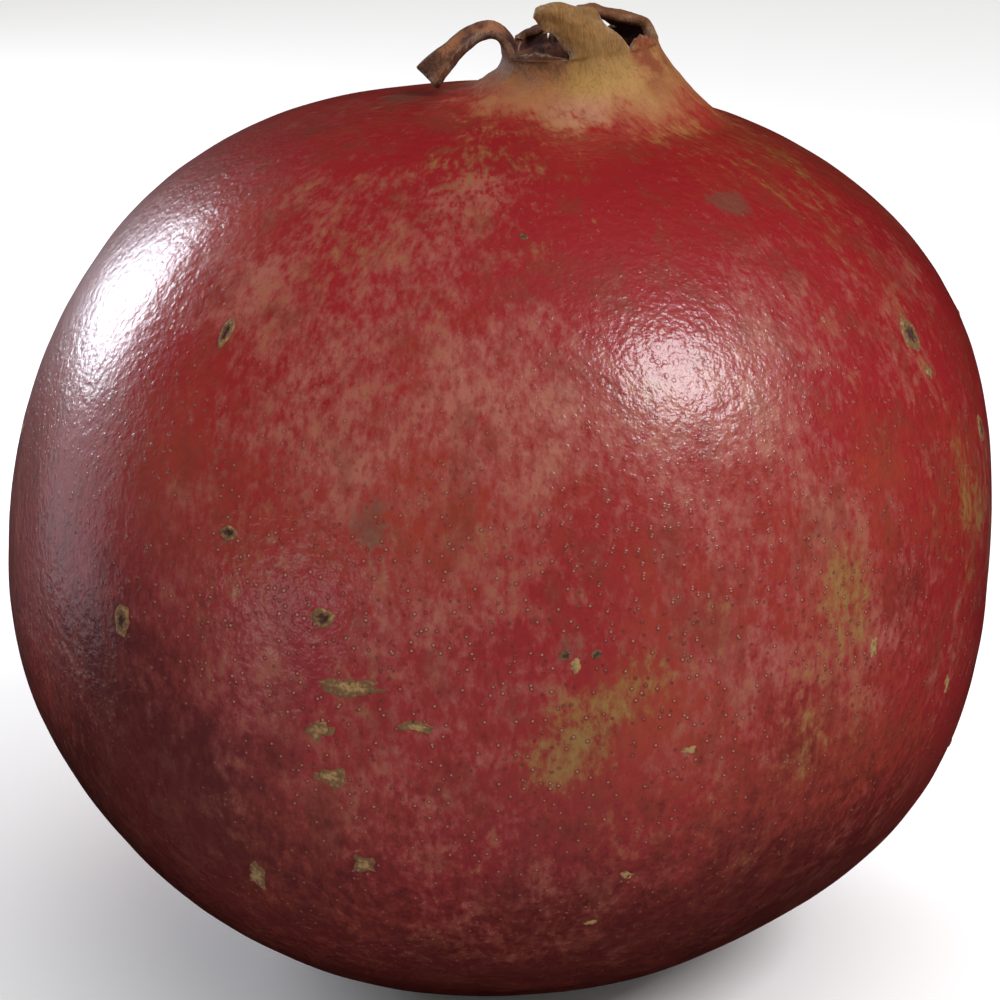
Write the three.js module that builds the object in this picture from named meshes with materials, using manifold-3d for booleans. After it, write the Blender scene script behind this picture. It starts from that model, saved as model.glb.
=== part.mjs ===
// A fresh pomegranate standing on its stem end, with the dried calyx open on top.
// Millimetres, +Z up. The viewer stands at -Y, so +X is on the viewer's right.
// Azimuths are in degrees from the front (-Y) towards the right (+X).
import * as THREE from 'three';
import { mergeVertices } from 'three/addons/utils/BufferGeometryUtils.js';
import Module from 'manifold-3d';

const wasm = await Module();
wasm.setup();

// Body, measured from a core point inside the fruit
const halfWidth = 49.3;
const halfDepth = 48.3;
const topHeight = 46.8;
const baseHeight = 42.2;
const topPower = 2.42;
const basePower = 2.06;
const restDepth = 0.55;
const shear = 0.022;
const poleTilt = 9.1;
const centreX = 0.33;
const centreY = -0.45;

// Soft faces round the body, as azimuth and relative distance
const faces = [[-8, 0.985], [46, 1.0], [100, 1.0], [160, 0.99], [218, 1.0], [286, 0.975]];
const facePower = 9;
const faceScale = 1.035;
const faceWeight = 0.42;
const faceDrift = 9;

// Swells and hollows, as azimuth, latitude, spread in degrees and height
const swells = [
  [90, 0, 20, -0.5],
  [76, -38, 20, 1.3],
  [100, 26, 20, 1.3],
  [-90, 2, 20, 0.3],
  [-100, 32, 20, -0.8],
  [-66, -50, 22, -2.2],
  [-60, -72, 22, 1.2],
  [84, -62, 22, -1.0],
];

// Stem scar under the fruit, as radius and height of the recess above the resting plane
const scarProfile = [[0, 0.3], [1.9, 0.35], [2.3, 0.9], [2.9, 0.9], [3.5, 0]];
const restRings = [1.0, 1.9, 2.3, 2.9, 3.5, 5.5, 7.6];

// Calyx tube
const neckAngle = 17.2;
const neckIn = 1.0;
const neckOut = 2.6;
const crownLean = -6;
const rimHeight = 4.2;
const rimRadius = 7.5;
const wall = 1.1;
const cupDepth = 9;
const cupFloor = 4.6;

// Grid of the rind and calyx
const columnsPerLobe = 8;
const bodyRows = 26;
const neckRows = 5;
const cupRows = 6;
const lobeRows = 8;
const blend = 0.55;

// Lobes of the calyx round the rim. The spine is three Bezier points after the root,
// each as distances outward, along the calyx and sideways.
const lobes = [
  {
    name: 'lip', low: true, start: -66, end: -10,
    spine: [[0, 0.2, 0], [0, 0.4, 0], [-0.1, 0.6, 0]],
    widths: [1, 1, 0.95, 0.88], thick: 1.1, tip: 0.9, twist: 0, bow: 0,
  },
  {
    name: 'hood', low: false, start: -10, end: 38,
    spine: [[0.3, 2.0, -0.6], [-0.1, 4.2, -3.2], [-0.9, 4.2, -5.6]],
    widths: [3.1, 2.5, 1.8, 1.1], thick: 1.1, tip: 1.0, twist: 0, bow: -0.5,
  },
  {
    name: 'shoulder', low: true, start: 38, end: 80,
    spine: [[0, 0.3, 0], [0, 0.6, 0], [-0.1, 0.9, 0]],
    widths: [1, 1, 0.9, 0.82], thick: 1.1, tip: 0.9, twist: 0, bow: 0,
  },
  {
    name: 'fold', low: false, start: 80, end: 160,
    spine: [[0.3, 2.3, 0], [-1.8, 3.3, 0], [-6.8, 4.3, 0.5]],
    widths: [4.9, 3.0, 1.8, 1.3], thick: 1.1, tip: 1.0, twist: 0, bow: -0.5,
  },
  {
    name: 'inner', low: false, start: 160, end: 205,
    spine: [[0, 1.4, 0], [-1.0, 2.8, 0.6], [-2.6, 2.4, 1.2]],
    widths: [2.8, 2.3, 1.6, 0.9], thick: 1.0, tip: 0.8, twist: 0, bow: -0.2,
  },
  {
    name: 'nub', low: false, start: 205, end: 244,
    spine: [[0, 1.4, 0], [-0.5, 2.4, 0], [-2.4, 2.3, 0]],
    widths: [2.5, 2.0, 1.5, 0.8], thick: 1.0, tip: 0.8, twist: 0, bow: -0.2,
  },
  {
    name: 'strap', low: false, start: 244, end: 294,
    spine: [[-0.2, 3.1, 0], [3.0, 2.2, 0], [6.8, -1.4, 0]],
    widths: [3.2, 1.0, 0.8, 1.6], thick: 0.9, tip: 0.8, twist: 55, bow: -0.2,
  },
];

// Withered stamens, as ring radius, count, length and outward lean
const saucer = [[0, -8.45], [1.9, -8.4], [3.2, -7.9], [4.0, -7.3], [3.8, -6.9], [0, -6.8]];
const stamenRings = [[3.3, 15, 2.7, 0.4], [2.3, 10, 3.1, 0.1]];
const stamenRadii = [0.36, 0.32, 0.32, 0.55, 0.28];
const styleRadii = [0.8, 0.6, 0.5, 0.75, 0.4];
const styleLength = 3.4;

const radians = THREE.MathUtils.degToRad;
const smooth = (x) => THREE.MathUtils.smoothstep(x, 0, 1);
const vector = (x, y, z) => new THREE.Vector3(x, y, z);

// Adds each vector times its factor
function blendOf(...terms) {
  const sum = vector(0, 0, 0);
  for (const [point, factor] of terms) {
    sum.addScaledVector(point, factor);
  }
  return sum;
}

function cubic(t, a, b, c, d) {
  const u = 1 - t;
  return [u * u * u * a, 3 * u * u * t * b, 3 * u * t * t * c, t * t * t * d].reduce((x, y) => x + y);
}

function curvePoint(t, a, b, c, d) {
  const u = 1 - t;
  return blendOf([a, u * u * u], [b, 3 * u * u * t], [c, 3 * u * t * t], [d, t * t * t]);
}

// Direction from the core, at an angle from the crown's pole
function direction(angle, azimuth) {
  const x = Math.sin(angle) * Math.sin(azimuth);
  const z = Math.cos(angle);
  const tilt = radians(poleTilt) * Math.cos(angle / 2) ** 2;
  return vector(
    x * Math.cos(tilt) + z * Math.sin(tilt),
    -Math.sin(angle) * Math.cos(azimuth),
    z * Math.cos(tilt) - x * Math.sin(tilt),
  );
}

// Distance of the soft polygon of faces at an azimuth
function plan(azimuth) {
  let total = 0;
  for (const [angle, distance] of faces) {
    total += (Math.max(Math.cos(azimuth - radians(angle)), 0) / distance) ** facePower;
  }
  return total ** (-1 / facePower);
}

// Distance from the core to the skin along a direction
function reach(d) {
  const azimuth = Math.atan2(d.x, -d.y) + radians(faceDrift) * d.z;
  const flat = (plan(azimuth) / faceScale) ** faceWeight;
  const wide = Math.hypot(d.x / halfWidth, d.y / halfDepth) / flat;
  const power = d.z > 0 ? topPower : basePower;
  const tall = Math.abs(d.z) / (d.z > 0 ? topHeight : baseHeight);
  let distance = (wide ** power + tall ** power) ** (-1 / power);
  for (const [turn, latitude, spread, height] of swells) {
    const a = radians(turn);
    const b = radians(latitude);
    const centre = vector(Math.cos(b) * Math.sin(a), -Math.cos(b) * Math.cos(a), Math.sin(b));
    const away = Math.acos(THREE.MathUtils.clamp(d.dot(centre), -1, 1));
    distance += height * Math.exp(-((away / radians(spread)) ** 2));
  }
  return distance;
}

// Height of the stem scar's recess at a distance from the stem's pole
function scarHeight(radius) {
  for (let i = 1; i < scarProfile.length; i++) {
    const [r0, h0] = scarProfile[i - 1];
    const [r1, h1] = scarProfile[i];
    if (radius <= r1) {
      return THREE.MathUtils.mapLinear(radius, r0, r1, h0, h1);
    }
  }
  return 0;
}

// Point on the skin, pressed flat where the fruit rests
function skin(angle, azimuth) {
  const d = direction(angle, azimuth);
  const p = d.clone().multiplyScalar(reach(d));
  const height = p.z + baseHeight - restDepth;
  const recess = p.z < 0 ? scarHeight(Math.hypot(p.x, p.y)) : 0;
  return vector(p.x + shear * p.z + centreX, p.y + centreY, Math.max(height, recess));
}

// Frame of the calyx: middle of the rim, and its right, back and up
const up = vector(Math.sin(radians(crownLean)), 0, Math.cos(radians(crownLean)));
const right = vector(up.z, 0, -up.x);
const back = up.clone().cross(right);
const middle = skin(0, 0).addScaledVector(up, rimHeight);

const outAt = (a) => blendOf([right, Math.sin(a)], [back, -Math.cos(a)]);
const acrossAt = (a) => blendOf([right, Math.cos(a)], [back, Math.sin(a)]);
const rimAt = (a) => blendOf([middle, 1], [outAt(a), rimRadius]);
const wallNormal = (a) => blendOf([outAt(a), 1], [up, 0.25]).normalize();

// Outer wall of the neck, from the body at 0 to the rim at 1
function neck(t, azimuth) {
  const angle = radians(neckAngle);
  const foot = skin(angle, azimuth);
  const slope = skin(angle - 0.01, azimuth).sub(foot).normalize();
  const rise = blendOf([up, 1], [outAt(azimuth), -0.25]).normalize();
  const top = rimAt(azimuth);
  return curvePoint(t, foot, blendOf([foot, 1], [slope, neckIn]), blendOf([top, 1], [rise, -neckOut]), top);
}

// Inside of the cup, from the rim at 0 to the middle of the floor at 1
function cup(t, azimuth) {
  const out = outAt(azimuth);
  const top = blendOf([rimAt(azimuth), 1], [wallNormal(azimuth), -wall]);
  const floor = blendOf([middle, 1], [up, -cupDepth]);
  const belly = blendOf([top, 1], [up, -0.75 * cupDepth], [out, 0.6]);
  return curvePoint(t, top, belly, blendOf([floor, 1], [out, cupFloor]), floor);
}

// Outer and inner faces of one lobe as functions of length 0..1 and width -1..1
class Lobe {
  constructor(shape) {
    this.shape = shape;
    this.half = radians(shape.end - shape.start) / 2;
    this.centre = radians(shape.start + shape.end) / 2;
    const out = outAt(this.centre);
    const across = acrossAt(this.centre);
    const root = rimAt(this.centre);
    const place = ([o, u, a]) => blendOf([root, 1], [out, o], [up, u], [across, a]);
    this.root = root;
    this.controls = [root, ...shape.spine.map(place)];
    this.sides = this.carry(across);
  }

  spine(l) {
    return curvePoint(l, ...this.controls);
  }

  tangent(l) {
    const step = 0.001;
    return this.spine(Math.min(l + step, 1)).sub(this.spine(Math.max(l - step, 0))).normalize();
  }

  // Carries the sideways direction along the spine without twist
  carry(start) {
    const steps = 40;
    const sides = [];
    let side = start.clone();
    for (let i = 0; i <= steps; i++) {
      const t = this.tangent(i / steps);
      side = side.clone().addScaledVector(t, -side.dot(t)).normalize();
      sides.push(side);
    }
    return sides;
  }

  outer(l, w) {
    const { widths, low, bow, twist } = this.shape;
    const width = cubic(l, ...widths);
    if (low) {
      const rise = this.spine(l).sub(this.root);
      return rimAt(this.centre + this.half * width * w).addScaledVector(rise, 0.45 + 0.55 * (1 - w * w));
    }
    const keep = 1 - smooth(l / blend);
    const strip = this.strip(l, w, width, bow, twist);
    const first = this.strip(0, w, widths[0], bow, twist);
    return blendOf([strip, 1], [rimAt(this.centre + this.half * w), keep], [first, -keep]);
  }

  strip(l, w, width, bow, twist) {
    const at = l * (this.sides.length - 1);
    const low = Math.min(Math.floor(at), this.sides.length - 2);
    const side = this.sides[low].clone().lerp(this.sides[low + 1], at - low).normalize();
    const normal = side.clone().cross(this.tangent(l));
    const turn = radians(twist) * smooth(l);
    const turned = blendOf([side, Math.cos(turn)], [normal, Math.sin(turn)]);
    const raised = blendOf([normal, Math.cos(turn)], [side, -Math.sin(turn)]);
    return blendOf([this.spine(l), 1], [turned, width * w], [raised, bow * w * w]);
  }

  inner(l, w) {
    const { low, thick, tip } = this.shape;
    const step = 0.01;
    const alongW = this.outer(l, Math.min(w + step, 1)).sub(this.outer(l, Math.max(w - step, -1)));
    const alongL = this.outer(Math.min(l + step, 1), w).sub(this.outer(Math.max(l - step, 0), w));
    const face = alongW.cross(alongL).normalize();
    const keep = low ? 1 : 1 - smooth(l / blend);
    const normal = blendOf([face, 1 - keep], [wallNormal(this.centre + this.half * w), keep]).normalize();
    return this.outer(l, w).addScaledVector(normal, -THREE.MathUtils.lerp(thick, tip, l));
  }
}

// Points and triangles of one closed surface
class Surface {
  constructor() {
    this.points = [];
    this.index = [];
  }

  add(point) {
    this.points.push(point.x, point.y, point.z);
    return this.points.length / 3 - 1;
  }

  row(count, pointAt) {
    return Array.from({ length: count }, (_, i) => this.add(pointAt(i)));
  }

  quad(a, b, c, d) {
    this.index.push(a, b, c, a, c, d);
  }

  // Joins rows of points round a ring, outward facing when the rows rise
  rings(rows) {
    for (let i = 1; i < rows.length; i++) {
      const low = rows[i - 1];
      const high = rows[i];
      for (let j = 0; j < low.length; j++) {
        const k = (j + 1) % low.length;
        this.quad(low[j], low[k], high[k], high[j]);
      }
    }
  }

  // Closes a ring with a point, seen from the side where the ring turns clockwise
  cap(ring, point) {
    for (let j = 0; j < ring.length; j++) {
      this.index.push(point, ring[(j + 1) % ring.length], ring[j]);
    }
  }

  geometry() {
    const geometry = new THREE.BufferGeometry();
    geometry.setAttribute('position', new THREE.Float32BufferAttribute(this.points, 3));
    geometry.setIndex(this.index);
    geometry.computeVertexNormals();
    return geometry;
  }
}

// Rind, neck, cup and lobes as one grown body
function fruit() {
  const surface = new Surface();
  const azimuths = [];
  for (const { start, end } of lobes) {
    for (let c = 0; c < columnsPerLobe; c++) {
      azimuths.push(radians(THREE.MathUtils.lerp(start, end, c / columnsPerLobe)));
    }
  }
  const count = azimuths.length;
  const angles = restRings.map((radius) => Math.PI - Math.atan(radius / baseHeight));
  const first = angles.at(-1);
  for (let i = 1; i < bodyRows; i++) {
    angles.push(THREE.MathUtils.lerp(first, radians(neckAngle), i / bodyRows));
  }
  const outside = angles.map((angle) => surface.row(count, (j) => skin(angle, azimuths[j])));
  for (let i = 0; i <= neckRows; i++) {
    outside.push(surface.row(count, (j) => neck(i / neckRows, azimuths[j])));
  }
  surface.rings(outside);
  surface.cap(outside[0], surface.add(skin(Math.PI, 0)));
  const inside = [];
  for (let i = 0; i < cupRows; i++) {
    inside.push(surface.row(count, (j) => cup(i / cupRows, azimuths[j])));
  }
  surface.rings(inside);
  const floor = surface.add(cup(1, 0));
  inside.at(-1).forEach((point, j, ring) => surface.index.push(floor, point, ring[(j + 1) % count]));
  lobes.forEach((shape, s) => {
    const lobe = new Lobe(shape);
    const roots = Array.from({ length: columnsPerLobe + 1 }, (_, c) => (s * columnsPerLobe + c) % count);
    const outer = [roots.map((j) => outside.at(-1)[j])];
    const inner = [roots.map((j) => inside[0][j])];
    for (let i = 1; i <= lobeRows; i++) {
      const width = (c) => (2 * c) / columnsPerLobe - 1;
      outer.push(surface.row(columnsPerLobe + 1, (c) => lobe.outer(i / lobeRows, width(c))));
      inner.push(surface.row(columnsPerLobe + 1, (c) => lobe.inner(i / lobeRows, width(c))));
    }
    for (let i = 0; i < lobeRows; i++) {
      for (let c = 0; c < columnsPerLobe; c++) {
        surface.quad(outer[i][c], outer[i][c + 1], outer[i + 1][c + 1], outer[i + 1][c]);
        surface.quad(inner[i][c + 1], inner[i][c], inner[i + 1][c], inner[i + 1][c + 1]);
      }
      surface.quad(inner[i][0], outer[i][0], outer[i + 1][0], inner[i + 1][0]);
      surface.quad(outer[i].at(-1), inner[i].at(-1), inner[i + 1].at(-1), outer[i + 1].at(-1));
    }
    for (let c = 0; c < columnsPerLobe; c++) {
      surface.quad(outer.at(-1)[c], outer.at(-1)[c + 1], inner.at(-1)[c + 1], inner.at(-1)[c]);
    }
  });
  return surface.geometry();
}

// Closed tube of given radii along a bent path, in the calyx's own frame
function stalk(path, radii, sides) {
  const surface = new Surface();
  const rows = radii.map((radius, i) => {
    const p = path(i / (radii.length - 1));
    return surface.row(sides, (j) => {
      const a = (2 * Math.PI * j) / sides;
      return vector(p.x + radius * Math.cos(a), p.y + radius * Math.sin(a), p.z);
    });
  });
  surface.rings(rows);
  surface.cap(rows[0], surface.add(path(0)));
  const top = surface.add(path(1).add(vector(0, 0, 0.15)));
  rows.at(-1).forEach((point, j, ring) => surface.index.push(top, point, ring[(j + 1) % sides]));
  return surface.geometry();
}

// Solid of revolution about the calyx's axis
function turned(profile, sides) {
  const points = profile.map(([radius, height]) => new THREE.Vector2(radius, height));
  const geometry = new THREE.LatheGeometry(points, sides);
  geometry.rotateX(Math.PI / 2);
  return geometry;
}

function toSolid(geometry) {
  geometry.deleteAttribute('normal');
  geometry.deleteAttribute('uv');
  const merged = mergeVertices(geometry, 1e-5);
  return new wasm.Manifold(new wasm.Mesh({
    numProp: 3,
    vertProperties: Float32Array.from(merged.attributes.position.array),
    triVerts: Uint32Array.from(merged.index.array),
  }));
}

function toGeometry(solid) {
  const { vertProperties, triVerts } = solid.getMesh();
  const geometry = new THREE.BufferGeometry();
  geometry.setAttribute('position', new THREE.BufferAttribute(vertProperties, 3));
  geometry.setIndex(new THREE.BufferAttribute(triVerts, 1));
  geometry.computeVertexNormals();
  return geometry;
}

// Withered stamens round the style, fused to the saucer that they grow from
function stamens() {
  let solid = toSolid(turned(saucer, 24));
  const foot = -7.2;
  stamenRings.forEach(([radius, count, length, lean], ring) => {
    for (let i = 0; i < count; i++) {
      const a = (2 * Math.PI * (i + 0.5 * ring)) / count;
      const tall = length * (1 + 0.12 * Math.sin(3 * i + ring));
      const bend = lean + 0.5 * Math.sin(5 * i + 2 * ring);
      const swing = 0.5 * Math.sin(7 * i + ring);
      const path = (t) => vector(
        (radius + bend * t * t) * Math.cos(a) - swing * t * t * Math.sin(a),
        (radius + bend * t * t) * Math.sin(a) + swing * t * t * Math.cos(a),
        foot + tall * t,
      );
      solid = solid.add(toSolid(stalk(path, stamenRadii, 6)));
    }
  });
  const style = (t) => vector(0.5 * t * t, 0.2 * t, foot + styleLength * t);
  solid = solid.add(toSolid(stalk(style, styleRadii, 8)));
  const geometry = toGeometry(solid);
  geometry.applyMatrix4(new THREE.Matrix4().makeBasis(right, back, up).setPosition(middle));
  return geometry;
}

function piece(name, geometry, colour, roughness) {
  const material = new THREE.MeshStandardMaterial({ color: colour, roughness });
  const mesh = new THREE.Mesh(geometry, material);
  mesh.name = name;
  return mesh;
}

const pomegranate = new THREE.Group();
pomegranate.name = 'pomegranate';
pomegranate.add(piece('fruit', fruit(), 0x9c2a2a, 0.5));
pomegranate.add(piece('stamens', stamens(), 0x6b4426, 0.9));

export default pomegranate;
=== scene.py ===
"""A fresh pomegranate on a pale floor: fine rind, dry calyx, corky blemishes and withered stamens.

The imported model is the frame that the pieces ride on. Lengths are in millimetres while a shape is worked out
and in metres in the meshes. Azimuths are in degrees from the front (-Y) towards the right (+X), and latitudes
are degrees above the level of the core.
"""

from __future__ import annotations

import logging
import math
from dataclasses import dataclass, field
from enum import Enum

import bpy
import numpy as np
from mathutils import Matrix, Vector

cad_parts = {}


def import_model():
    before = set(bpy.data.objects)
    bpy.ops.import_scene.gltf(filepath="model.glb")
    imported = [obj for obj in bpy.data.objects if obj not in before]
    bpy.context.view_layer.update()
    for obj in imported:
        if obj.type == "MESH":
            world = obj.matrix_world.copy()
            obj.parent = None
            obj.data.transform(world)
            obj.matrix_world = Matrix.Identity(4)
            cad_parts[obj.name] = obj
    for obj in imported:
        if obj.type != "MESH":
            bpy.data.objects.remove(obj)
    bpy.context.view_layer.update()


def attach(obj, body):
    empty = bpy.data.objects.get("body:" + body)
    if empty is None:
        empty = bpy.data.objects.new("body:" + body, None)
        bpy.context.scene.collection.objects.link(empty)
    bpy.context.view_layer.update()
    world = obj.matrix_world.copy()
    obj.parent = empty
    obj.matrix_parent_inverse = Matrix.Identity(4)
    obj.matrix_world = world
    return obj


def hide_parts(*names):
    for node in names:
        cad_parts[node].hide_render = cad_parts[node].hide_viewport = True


LOG = logging.getLogger("pomegranate")
BODY = "root"
METRE = 0.001
SHORTEST = 1e-12

Socket = bpy.types.NodeSocket
Given = Socket | float | tuple[float, ...]
Term = np.ndarray | float


def unit(vectors: np.ndarray) -> np.ndarray:
    """Scales vectors, x, y and z on the last axis, to length one."""
    return vectors / np.maximum(np.linalg.norm(vectors, axis=-1, keepdims=True), SHORTEST)


def smooth(x: np.ndarray) -> np.ndarray:
    """Smooth step from 0 to 1, held at the ends outside of 0..1."""
    x = np.clip(x, 0.0, 1.0)
    return x * x * (3 - 2 * x)


def cubic(t: np.ndarray, start: Term, first: Term, second: Term, end: Term) -> np.ndarray:
    """Cubic Bezier curve.

    Args:
        t: position along the curve, 0 to 1.
        start: value or point at 0.
        first: first control.
        second: second control.
        end: value or point at 1.

    Returns:
        The points or values at t.
    """
    u = 1 - t
    return u**3 * start + 3 * u * u * t * first + 3 * u * t * t * second + t**3 * end


def places(*axes: Term) -> np.ndarray:
    """Places for a noise, from their x, y and z, each a number or an array."""
    return np.stack(np.broadcast_arrays(*axes), -1)


class Noise:
    """Smooth seeded noise in space, the same in every run."""

    CELLS = 48
    SHIFT = 17.3

    def __init__(self, seed: int) -> None:
        """Draws the lattice.

        Args:
            seed: number that fixes the pattern.
        """
        self.lattice = np.random.default_rng(seed).uniform(-1, 1, (self.CELLS, self.CELLS, self.CELLS))

    def __call__(self, points: np.ndarray, size: float) -> np.ndarray:
        """Reads the noise.

        Args:
            points: places in millimetres, x, y and z on the last axis.
            size: distance between lattice points in millimetres.

        Returns:
            Values from -1 to 1.
        """
        q = points / size + self.SHIFT
        cell = np.floor(q).astype(int)
        part = smooth(q - cell)
        total = np.zeros(points.shape[:-1])
        for dx in (0, 1):
            for dy in (0, 1):
                for dz in (0, 1):
                    corner = (cell + (dx, dy, dz)) % self.CELLS
                    weight = np.prod(np.where((dx, dy, dz), part, 1 - part), axis=-1)
                    total += weight * self.lattice[corner[..., 0], corner[..., 1], corner[..., 2]]
        return total

    def layers(self, points: np.ndarray, *pairs: tuple[float, float]) -> np.ndarray:
        """The noise added up at several pairs of strength and size."""
        return sum(strength * self(points, size) for strength, size in pairs)


@dataclass(frozen=True)
class Patch:
    """A soft round area of the rind, such as a swell, a hollow or a stain."""

    azimuth: float
    latitude: float
    spread: float
    amount: float

    def centre(self) -> np.ndarray:
        """Direction of its middle from the core."""
        a, b = math.radians(self.azimuth), math.radians(self.latitude)
        return np.array([math.cos(b) * math.sin(a), -math.cos(b) * math.cos(a), math.sin(b)])

    def over(self, directions: np.ndarray) -> np.ndarray:
        """Amount of the patch along directions from the core."""
        away = np.arccos(np.clip(directions @ self.centre(), -1, 1))
        return self.amount * np.exp(-((away / math.radians(self.spread)) ** 2))


def patches(*rows: tuple[float, float, float, float]) -> tuple[Patch, ...]:
    """Patches from rows of azimuth, latitude, spread and amount."""
    return tuple(Patch(*row) for row in rows)


@dataclass(frozen=True)
class CalyxLobe:
    """One dry lobe round the rim.

    The spine is three Bezier points after the root, as distances outward, along the calyx and sideways.
    A low lobe follows the rim and its widths are shares of its own arc.
    """

    name: str
    start: float
    end: float
    spine: tuple[tuple[float, float, float], ...]
    widths: tuple[float, float, float, float]
    thick: float
    tip: float
    twist: float = 0.0
    bow: float = 0.0
    low: bool = False
    dried: float = 0.5
    yellow: float = 0.3
    blush: float = 0.0
    torn: float = 0.3
    worn: float = 0.0

    @property
    def half(self) -> float:
        """Half of its arc of the rim, in radians."""
        return math.radians(self.end - self.start) / 2

    @property
    def middle(self) -> float:
        """Azimuth of its middle, in radians."""
        return math.radians(self.start + self.end) / 2

    @property
    def tones(self) -> dict[str, float]:
        """Values of the masks that are even over the lobe."""
        return {"dried": self.dried, "yellow": self.yellow, "blush": self.blush}


SWELLS = patches(
    (90, 0, 20, -0.5), (76, -38, 20, 1.3), (100, 26, 20, 1.3), (-90, 2, 20, 0.3), (-100, 32, 20, -0.8),
    (-66, -50, 22, -2.2), (-60, -72, 22, 1.2), (84, -62, 22, -1.0),
)

LOBES = (
    CalyxLobe(
        "lip", -66, -10, ((0, 0.2, 0), (0, 0.4, 0), (-0.1, 0.6, 0)), (1, 1, 0.95, 0.88), 1.1, 0.9,
        low=True, dried=0.9, yellow=0.35, blush=0.15, torn=1.0,
    ),
    CalyxLobe(
        "hood", -10, 38, ((0.3, 2.0, -0.6), (-0.1, 4.2, -3.2), (-0.9, 4.2, -5.6)), (3.1, 2.5, 1.8, 1.1),
        1.1, 1.0, bow=-0.5, dried=0.45, yellow=0.7, blush=0.25, torn=1.0,
    ),
    CalyxLobe(
        "shoulder", 38, 80, ((0, 0.3, 0), (0, 0.6, 0), (-0.1, 0.9, 0)), (1, 1, 0.9, 0.82), 1.1, 0.9,
        low=True, dried=0.25, yellow=0.5, blush=0.9,
    ),
    CalyxLobe(
        "fold", 80, 160, ((0.3, 2.3, 0), (-1.8, 3.3, 0), (-6.8, 4.3, 0.5)), (4.9, 3.0, 1.8, 1.3), 1.1, 1.0,
        bow=-0.5, dried=0.75, yellow=0.4, blush=0.3,
    ),
    CalyxLobe(
        "inner", 160, 205, ((0, 1.4, 0), (-1.0, 2.8, 0.6), (-2.6, 2.4, 1.2)), (2.8, 2.3, 1.6, 0.9), 1.0, 0.8,
        bow=-0.2, dried=1.0, yellow=0.1, blush=0.2, worn=0.4,
    ),
    CalyxLobe(
        "nub", 205, 244, ((0, 1.4, 0), (-0.5, 2.4, 0), (-2.4, 2.3, 0)), (2.5, 2.0, 1.5, 0.8), 1.0, 0.8,
        bow=-0.2, dried=1.0, yellow=0.1, blush=0.2, worn=0.4,
    ),
    CalyxLobe(
        "strap", 244, 294, ((-0.2, 3.1, 0), (3.0, 2.2, 0), (6.8, -1.4, 0)), (3.2, 1.0, 0.8, 1.6), 0.9, 0.8,
        twist=55, bow=-0.2, dried=0.95, yellow=0.2, blush=0.2, torn=0.45, worn=1.0,
    ),
)


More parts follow.
